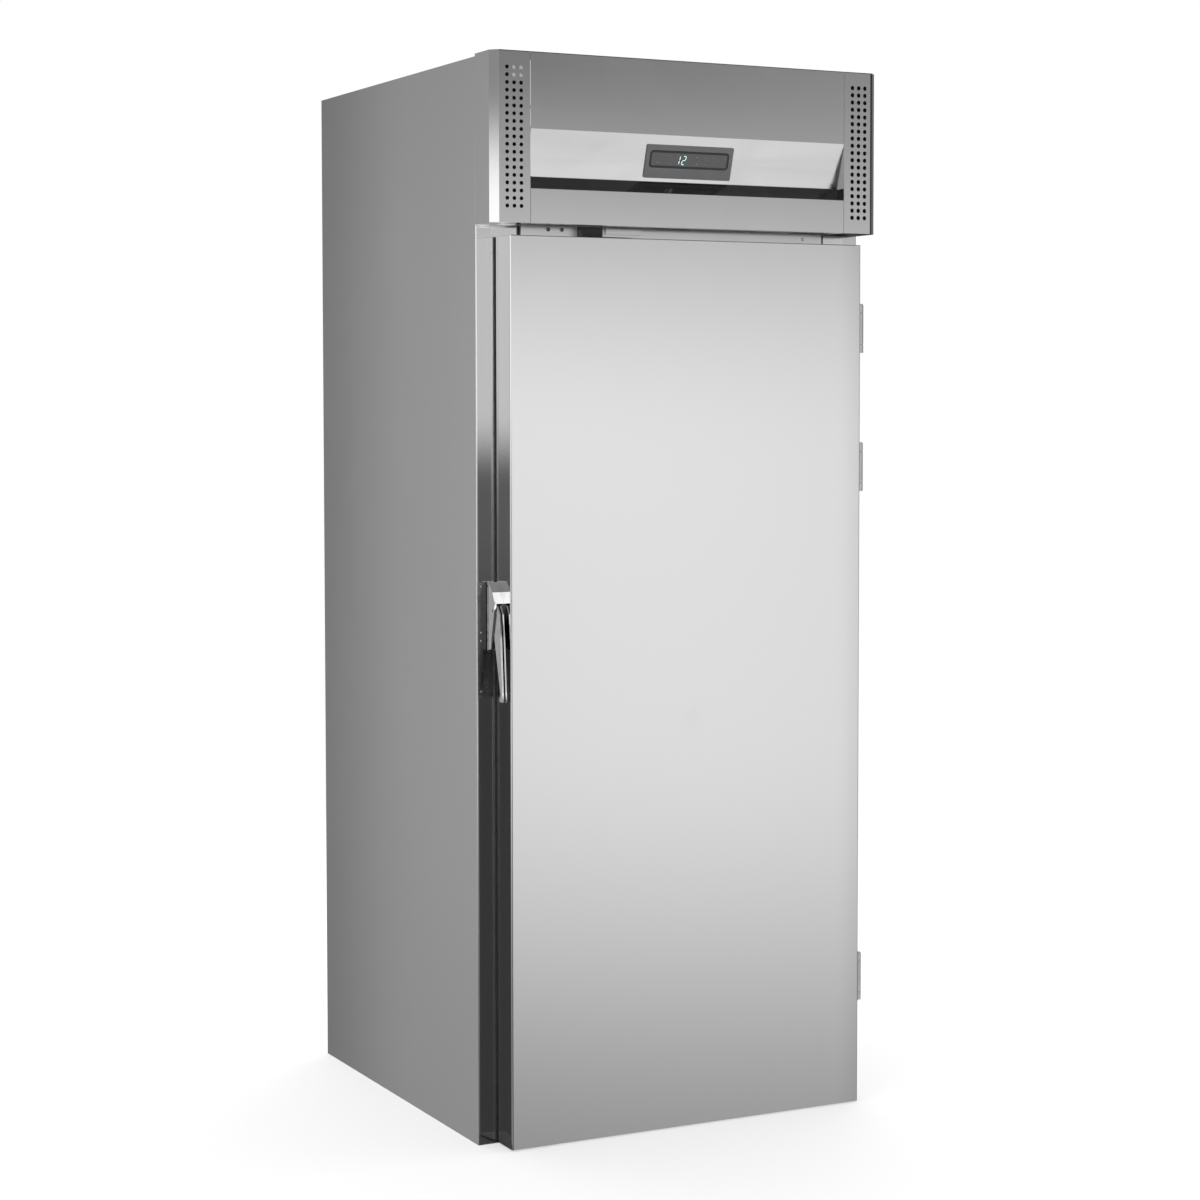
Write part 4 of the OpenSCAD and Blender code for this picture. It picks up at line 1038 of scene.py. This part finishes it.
cap = geo(wheel_tree, "MeshCone", {"Vertices": 40, "Radius Top": wheel_sum(
    "MULTIPLY", cap_radius, 0.8), "Radius Bottom": cap_radius, "Depth": 0.0015})
seated = moved(wheel_tree, cap, Translation=xyz(wheel_tree, z=wheel_sum(
    "MULTIPLY", given["Hub Depth"], 0.5)))
close_tree(wheel_tree, given, ends_out, spread(
    wheel_tree, given["Points"], joined(wheel_tree, blades, hub, seated),
    Rotation=(math.radians(90), 0, 0)))

blade_metal = plated("fan_aluminium", 0.66, 0.34, spangle=30.0)
fan_x, fan_drop = 0.165, 0.106
condenser_x, condenser_z = 0.040, 1.977
for name, x, z, blade_reach, hub_reach, hub_deep in (
        ("evaporator_fan_left", -fan_x, cover_high.z - fan_drop, 0.0788, 0.020, 0.0205),
        ("evaporator_fan_right", fan_x, cover_high.z - fan_drop, 0.0788, 0.020, 0.0205),
        ("condenser_fan", condenser_x, condenser_z, 0.1118, 0.024, 0.0155)):
    low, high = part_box(name)
    grown(name + "_wheel", wheel_tree, {
        "Radius": blade_reach, "Hub": hub_reach, "Hub Depth": hub_deep,
        "Chord": blade_reach * 0.46, "Pitch": math.radians(26), "Material": blade_metal},
        [(x, (low.y + high.y) / 2, z)], body=name, stands=(name,))
take("evaporator_fan_frames", black_plastic, 0.0003, steps=1, flat=False)

# Ceiling light: a white plastic tray with a frosted diffuser that glows evenly, moulded in fine
# ridges.
pale_plastic = moulded("lamp_body", (0.72, 0.72, 0.72), 0.35)
take("lamp_housing", pale_plastic, 0.0015, steps=3)
diffuser, tree, shader = material("lamp_diffuser", Roughness=0.35, Emission_Strength=3.5)
ridges = add(tree, "TexWave", {"Vector": spot(tree), "Scale": 110.0},
             bands_direction="X").outputs[1]
glow = mixed(tree, ridges, (0.82, 0.90, 1.0), 1.0)
feed(shader, Emission_Color=glow, Base_Color=glow)
bumped(shader, ridges, 0.5, 0.0008)
take("lamp_lens", diffuser, 0.002, steps=4)


# Compressor: a black enamelled shell of two drawn cups with a weld seam, on four bracket feet
# with rubber grommets, and a snap-on terminal cover towards the flap.
def fixed(thing, stands=()):
    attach(thing, "cabinet")
    if stands:
        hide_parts(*stands)


def spun(name, profile, centre, paint, stands=(), sides=64):
    work = bmesh.new()
    chain = [work.verts.new((r, 0, z)) for r, z in profile]
    for first, second in zip(chain, chain[1:]):
        work.edges.new((first, second))
    bmesh.ops.spin(work, geom=work.verts[:] + work.edges[:], cent=(0, 0, 0), axis=(0, 0, 1),
                   angle=math.tau, steps=sides, use_merge=True)
    bmesh.ops.remove_doubles(work, verts=work.verts, dist=1e-6)
    bmesh.ops.recalc_face_normals(work, faces=work.faces)
    bmesh.ops.translate(work, vec=centre, verts=work.verts)
    fixed(formed(name, work, paint, crease=35), stands)


def block(name, low, high, edge, paint, turn=0.0, about=(0, 0, 0), stands=()):
    work = cuboid(low, high)
    bmesh.ops.rotate(work, cent=about, matrix=Matrix.Rotation(turn, 3, "Z"), verts=work.verts)
    fixed(softened(formed(name, work, paint), edge), stands)


def arc(cx, cz, radius, first, last, steps=8):
    angles = [math.radians(first + (last - first) * i / steps) for i in range(steps + 1)]
    return [(cx + radius * math.cos(a), cz + radius * math.sin(a)) for a in angles]


black_paint = satin("black_paint", 0.016, 0.22, wear=0.15, Metallic=0.0, Coat_Weight=0.4)
comp = Vector((-0.210, -0.0405, 1.842))
shell = ([(0, 0)] + arc(0.060, 0.025, 0.025, -90, 0) + [(0.085, 0.101), (0.0875, 0.1035),
         (0.0875, 0.1065), (0.0835, 0.109), (0.0835, 0.155)] +
         arc(0.0385, 0.155, 0.045, 0, 90) + [(0, 0.2)])
spun("compressor_shell", shell, comp, black_paint, ("compressor",), sides=72)
spun("compressor_stub", [(0, 0), (0.012, 0), (0.012, 0.004), (0.0085, 0.006), (0.0085, 0.011),
     (0, 0.011)], comp + Vector((0.03, 0, 0.196)), copper, sides=24)
rubber = moulded("foot_rubber", (0.010, 0.010, 0.010), 0.85)
foot_reach = 0.106
for angle in (45, 135, 225, 315):
    turn = math.radians(angle)
    foot = comp + Vector((math.cos(turn), math.sin(turn), 0)) * foot_reach
    block("compressor_leg", comp + Vector((0.066, -0.013, 0)),
          comp + Vector((0.119, 0.013, 0.0035)), 0.0012, black_paint, turn, comp)
    spun("grommet", [(0, -0.018), (0.0115, -0.018), (0.0125, -0.016), (0.0125, -0.011),
         (0.0095, -0.009), (0.0095, -0.006), (0.0120, -0.004), (0.0120, 0.0), (0.008, 0.0)],
         foot, rubber, sides=28)
    spun("foot_bolt", [(0, 0.009), (0.0045, 0.009), (0.0055, 0.0078), (0.0055, 0.005),
         (0.0095, 0.005), (0.0095, 0.0036), (0, 0.0036)], foot, zinc, sides=6)
block("terminal_cover", comp + Vector((-0.030, -0.1165, 0.074)),
      comp + Vector((0.030, -0.0760, 0.130)), 0.006, black_plastic)
block("cover_clip", comp + Vector((-0.033, -0.1175, 0.098)),
      comp + Vector((0.033, -0.0700, 0.103)), 0.0008, zinc)


# Refrigerant pipes: drawn copper tube bent round a small former, brazed into compressor,
# condenser and receiver, with a black foam sleeve on the cold return and rubber rings in the deck.
pipe_tree, given, ends_out = new_tree("bent_pipe", {
    "Path": "Geometry", "Radius": 0.005, "Bend": 0.018})
path = geo(pipe_tree, "MeshToCurve", {0: given["Path"]})
bent_path = geo(pipe_tree, "FilletCurve", {"Curve": path, "Count": 8, "Radius": given["Bend"],
                "Limit Radius": True}, mode="POLY")
close_tree(pipe_tree, given, ends_out, drawn_tube(pipe_tree, bent_path, given["Radius"], 16,
                                                  **{"Fill Caps": True}))


def piped(name, points, radius, bend, paint, stands=()):
    grown(name, pipe_tree, {"Radius": radius, "Bend": bend, "Material": paint}, points,
          stands=stands, edges=[(i, i + 1) for i in range(len(points) - 1)])


pipe_top, pipe_rear, deck_hole = 2.054, 0.342, 0.25
drier_x, drier_y = 0.156, -0.0125
coil_y = -0.3085
discharge_top = 2.074
piped("return_pipe", [(-0.18, comp.y, 2.040), (-0.18, comp.y, pipe_top),
      (-0.18, pipe_rear, pipe_top), (-deck_hole, pipe_rear, pipe_top),
      (-deck_hole, pipe_rear, 1.700), (-0.232, pipe_rear, 1.700)], 0.005, 0.02, copper,
      ("refrigerant_pipes",))
piped("liquid_pipe", [(drier_x, drier_y, 1.970), (drier_x, drier_y, pipe_top),
      (deck_hole, drier_y, pipe_top), (deck_hole, pipe_rear, pipe_top),
      (deck_hole, pipe_rear, 1.700), (0.232, pipe_rear, 1.700)], 0.004, 0.02, copper)
piped("discharge_pipe", [(-0.24, comp.y, 2.036), (-0.24, comp.y, discharge_top),
      (-0.24, coil_y, discharge_top), (-0.15, coil_y, discharge_top), (-0.15, coil_y, 2.052),
      (-0.105, coil_y, 2.052)], 0.004, 0.014, copper)
piped("condensate_pipe", [(0.185, coil_y, 1.882), (0.26, coil_y, 1.882), (0.26, -0.0705, 1.882),
      (0.236, -0.0705, 1.882)], 0.004, 0.018, copper)
sleeve_paint = moulded("sleeve_foam", (0.012, 0.012, 0.012), 0.9, grit=300.0)
piped("return_sleeve", [(-0.18, 0.03, pipe_top), (-0.18, pipe_rear, pipe_top),
      (-deck_hole, pipe_rear, pipe_top), (-deck_hole, pipe_rear, 1.829)], 0.0095, 0.02,
      sleeve_paint)
for x in (-deck_hole, deck_hole):
    spun("pipe_ring", [(0.0105, 0), (0.014, 0), (0.014, 0.004), (0.0115, 0.006), (0.0105, 0.006)],
         (x, pipe_rear, 1.8221), rubber, sides=32)

# Liquid receiver: a welded black bottle with domed ends and a brass shut-off valve, and beside it
# the copper filter drier on a bent bracket.
receiver = (0.2, -0.0705, 1.824)
drier_place = (drier_x, drier_y, 1.884)
seam = [(0.038, 0.083), (0.0388, 0.084), (0.0388, 0.087), (0.038, 0.088)]
bottle = ([(0, 0.002), (0.022, 0.0)] + arc(0.023, 0.015, 0.015, -90, 0) + seam +
          arc(0.018, 0.150, 0.020, 0, 90) + [(0, 0.170)])
spun("receiver_bottle", bottle, receiver, black_paint, ("liquid_receiver",))
brass = plated("valve_brass", 0.72, 0.3, spangle=60.0, hue=(1.0, 0.83, 0.45))
spun("receiver_valve", [(0, 0.168), (0.012, 0.168), (0.012, 0.172), (0.008, 0.1735),
     (0.008, 0.178), (0.006, 0.180), (0, 0.180)], receiver, brass, sides=6)
spun("filter_drier", [(0, 0), (0.005, 0), (0.006, 0.008), (0.0168, 0.022), (0.0168, 0.068),
     (0.0062, 0.082), (0.0055, 0.090), (0, 0.090)], drier_place, copper, sides=40)
block("drier_foot", (0.149, -0.0185, 1.824), (0.163, -0.0065, 1.8865), 0.0008, zinc)
spun("drier_clamp", [(0.0169, 0.040), (0.0176, 0.040), (0.0176, 0.052), (0.0169, 0.052)],
     drier_place, zinc, sides=40)


# Condenser: the fin pack between two plated end plates, a black sheet shroud with the fan behind
# it and a small motor on four straps.
cond_low, cond_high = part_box("condenser_coil")
foot_wide, foot_top = 0.012, 1.853
finned("condenser", 0.268, 0.034, 0.248,
       ((cond_low.x + cond_high.x) / 2, (cond_low.y + cond_high.y) / 2, condenser_z), 0.0035,
       0.0436)
for x in (cond_low.x, cond_high.x - foot_wide):
    block("condenser_foot", (x, cond_low.y, cond_low.z), (x + foot_wide, cond_high.y, foot_top),
          0.0006, zinc)
shroud_black = moulded("shroud_black", (0.012, 0.012, 0.012), 0.5)
take("condenser_shroud", shroud_black, 0.0008)
take("condenser_fan_motor", black_paint, 0.001, flat=False)

# Wiring box: a grey moulded box with a lid on its right side held by four screws, and two ribbed
# bushings towards the compressor.
box_paint = moulded("box_plastic", (0.50, 0.51, 0.52), 0.42)
box_low, box_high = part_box("electrical_box")
lid_rim = 0.016
for name, start, end, inset, edge, stands in (
        ("box_body", box_low.x, box_high.x - 0.016, 0, 0.004, ("electrical_box",)),
        ("box_lid", box_high.x - 0.0155, box_high.x - 0.004, 0, 0.003, ()),
        ("box_plate", box_high.x - 0.0045, box_high.x - 0.0025, lid_rim, 0.001, ())):
    block(name, (start, box_low.y + inset, box_low.z + inset),
          (end, box_high.y - inset, box_high.z - inset), edge, box_paint,
          stands=stands)
take("cable_gland", black_plastic, 0.0008, flat=False)


# Rear: the plain stainless back sheet and the slotted grille above it, sunk between the side
# panels' folded edges.
rear_stainless = steel("rear_stainless", 0.56, 0.30, lines=(900, 900, 7), wave=0.0006, marks=0.5)
for name in ("back_panel", "rear_grille"):
    take(name, rear_stainless, 0.0002)

# Dust: it lies thinly on everything level in the machine compartment.
dust_group, given, ends_out = new_group(
    "settled_dust", {"Vector": (0, 0, 0), "Normal": (0, 0, 1), "Amount": 0.5}, "Dust")
upward = add(dust_group, "SeparateXYZ", {0: given["Normal"]}).outputs[2]
drift = add(dust_group, "TexNoise", {"Vector": given["Vector"], "Scale": 14.0, "Detail": 5.0,
            "Roughness": 0.65})
laid = times(dust_group, ranged(dust_group, upward, 0.55, 0.95, smooth=True),
             ranged(dust_group, drift, 0.3, 0.7))
close_group(dust_group, ends_out, times(dust_group, laid, given["Amount"]))

for paint, amount in ((zinc, 0.55), (black_paint, 0.40), (box_paint, 0.35), (rubber, 0.4),
                      (shroud_black, 0.45), (sleeve_paint, 0.35)):
    tree, shader, clean = relinked(paint, "Base Color")
    dust = add(tree, "Group", {"Vector": spot(tree), "Amount": amount,
               "Normal": add(tree, "NewGeometry").outputs["Normal"]}, node_tree=dust_group)
    feed(shader, Base_Color=mixed(tree, dust, clean, (0.22, 0.20, 0.18)))
    if shader.inputs["Metallic"].default_value > 0.5:
        feed(shader, Metallic=number(tree, "SUBTRACT", 1.0, dust))


# Screws: pan heads with a cross recess, each turned its own way, in the places of the CAD heads
# and on the door leaves, the wiring box lid and the rear sheets. The rail cover's left two are
# near-black as painted shade, its right one lies flush, and the strike plate's are small.
screw_tree, given, ends_out = new_tree("screw_heads", {
    "Points": "Geometry", "Radius": 0.0032, "Height": 0.0018, "Slot": 0.0007,
    "Facing": (0, 0, 0), "Seed": 7})
radius, height = given["Radius"], given["Height"]


def shares(value, share):
    return times(screw_tree, value, share)


foot = geo(screw_tree, "MeshCylinder", {"Vertices": 28, "Radius": radius,
           "Depth": shares(height, 0.9)})
dome = geo(screw_tree, "MeshCone", {"Vertices": 28, "Radius Top": shares(radius, 0.66),
           "Radius Bottom": radius, "Depth": shares(height, 0.45)})
raised = moved(screw_tree, dome, Translation=xyz(screw_tree, z=shares(height, 0.45)))
body = joined(screw_tree, foot, raised, kind="MeshBoolean", socket="Mesh 2", operation="UNION")
arms = [moved(screw_tree, geo(screw_tree, "MeshCube", {"Size": xyz(
    screw_tree, shares(radius, 1.15), given["Slot"], height)}), Rotation=(0, 0, turned),
    Translation=xyz(screw_tree, z=shares(height, 0.72))) for turned in (0, math.pi / 2)]
cross = joined(screw_tree, *arms, kind="MeshBoolean", socket="Mesh 2", operation="UNION")
cut = joined(screw_tree, cross, kind="MeshBoolean", socket="Mesh 2", operation="DIFFERENCE")
screw_tree.links.new(out(body), cut.inputs["Mesh 1"])
chance = new_node(screw_tree, "FunctionNodeRandomValue", {
    "Max": math.tau, "Seed": given["Seed"]}, data_type="FLOAT")
own_way = xyz(screw_tree, z=[socket for socket in chance.outputs if socket.enabled][0])
close_tree(screw_tree, given, ends_out, geo(screw_tree, "RotateInstances", {
    "Instances": spread(screw_tree, given["Points"], cut, Rotation=given["Facing"]),
    "Rotation": own_way, "Local Space": True}))

work = bmesh.new()
work.from_mesh(nodes["screws"].data)
bmesh.ops.remove_doubles(work, verts=work.verts, dist=1e-6)
rail_heads, strike_end, shaded_screw_lift, head_share = (-0.3845, -0.3825), -0.4, 0.0045, 0.55
left = set(work.verts)
kinds = {}
while left:
    found = walk(left.pop(), left, set(work.edges))
    (x_low, x_high), (front, rear), (z_low, z_high) = [
        (min(v.co[k] for v in found), max(v.co[k] for v in found)) for k in range(3)]
    kind, lifted = "bright", 0
    if rail_heads[0] < front < rail_heads[1]:
        kind, lifted = ("dark", shaded_screw_lift) if x_high < 0 else ("flush", 0)
    elif x_high < strike_end:
        kind = "small"
    deep = rear - front
    key = (round((x_high - x_low) / 2, 4), round(deep, 4), kind)
    kinds.setdefault(key, []).append(((x_high + x_low) / 2, front + deep * head_share,
                                      (z_high + z_low) / 2 + lifted))
work.free()
screw_steel = satin("screw_steel", 0.55, 0.3)
screw_kinds = {"bright": (screw_steel, 1.0, 0.24),
               # Painted shade: the rail cover's left screws are near-black and a little larger.
               "dark": (satin("screw_painted_shade", 0.06, 0.35), 1.4, 0.24),
               "flush": (rail_stainless, 1.0, 0.06),
               "small": (satin("screw_small", 0.30, 0.3), 0.72, 0.24)}
for n, ((wide, deep, kind), places) in enumerate(sorted(kinds.items())):
    paint, wider, slot_share = screw_kinds[kind]
    grown("screw_heads", screw_tree, {"Radius": wide * wider, "Height": deep,
          "Slot": wide * slot_share, "Facing": (math.radians(90), 0, 0), "Seed": 11 + n,
          "Material": paint}, sorted(places),
          stands=("screws",) if n == 0 else ())
faces_right, faces_rear = (0, math.radians(90), 0), (math.radians(-90), 0, 0)
leaf_low, leaf_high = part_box("hinge_door_leaves")
leaf_middles = [leaf_low.z + 0.05, leaf_high.z - 0.338, leaf_high.z - 0.05]
grown("door_leaf_screws", screw_tree, {"Facing": faces_right, "Seed": 31,
      "Material": screw_steel},
      [(leaf_low.x + 0.0036, y, z + step) for z in leaf_middles for step in (-0.034, 0.034)
       for y in (leaf_low.y + 0.0075, leaf_high.y - 0.0100)], body="door")
grown("box_screws", screw_tree, {"Facing": faces_right, "Seed": 41, "Radius": 0.004,
      "Material": screw_steel},
      [(box_high.x - 0.0038, y, z) for y in (box_low.y + 0.009, box_high.y - 0.009)
       for z in (box_low.z + 0.009, box_high.z - 0.009)])
back_low, back_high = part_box("back_panel")
grille_low, grille_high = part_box("rear_grille")
rear_levels = [back_low.z + 0.03 + n * (back_high.z - back_low.z - 0.06) / 6 for n in range(7)]
rear_levels += [grille_low.z + 0.02, (grille_low.z + grille_high.z) / 2, grille_high.z - 0.015]
rear_places = [(x, z) for x in (-0.394, 0.394) for z in rear_levels] + [
    (x, z) for x in (-0.13, 0.13) for z in (back_high.z - 0.014, grille_low.z + 0.014)]
grown("rear_screws", screw_tree, {"Facing": faces_rear, "Seed": 53, "Radius": 0.004,
      "Height": 0.0022, "Material": screw_steel},
      [(x, back_high.y + 0.0007, z) for x, z in rear_places])
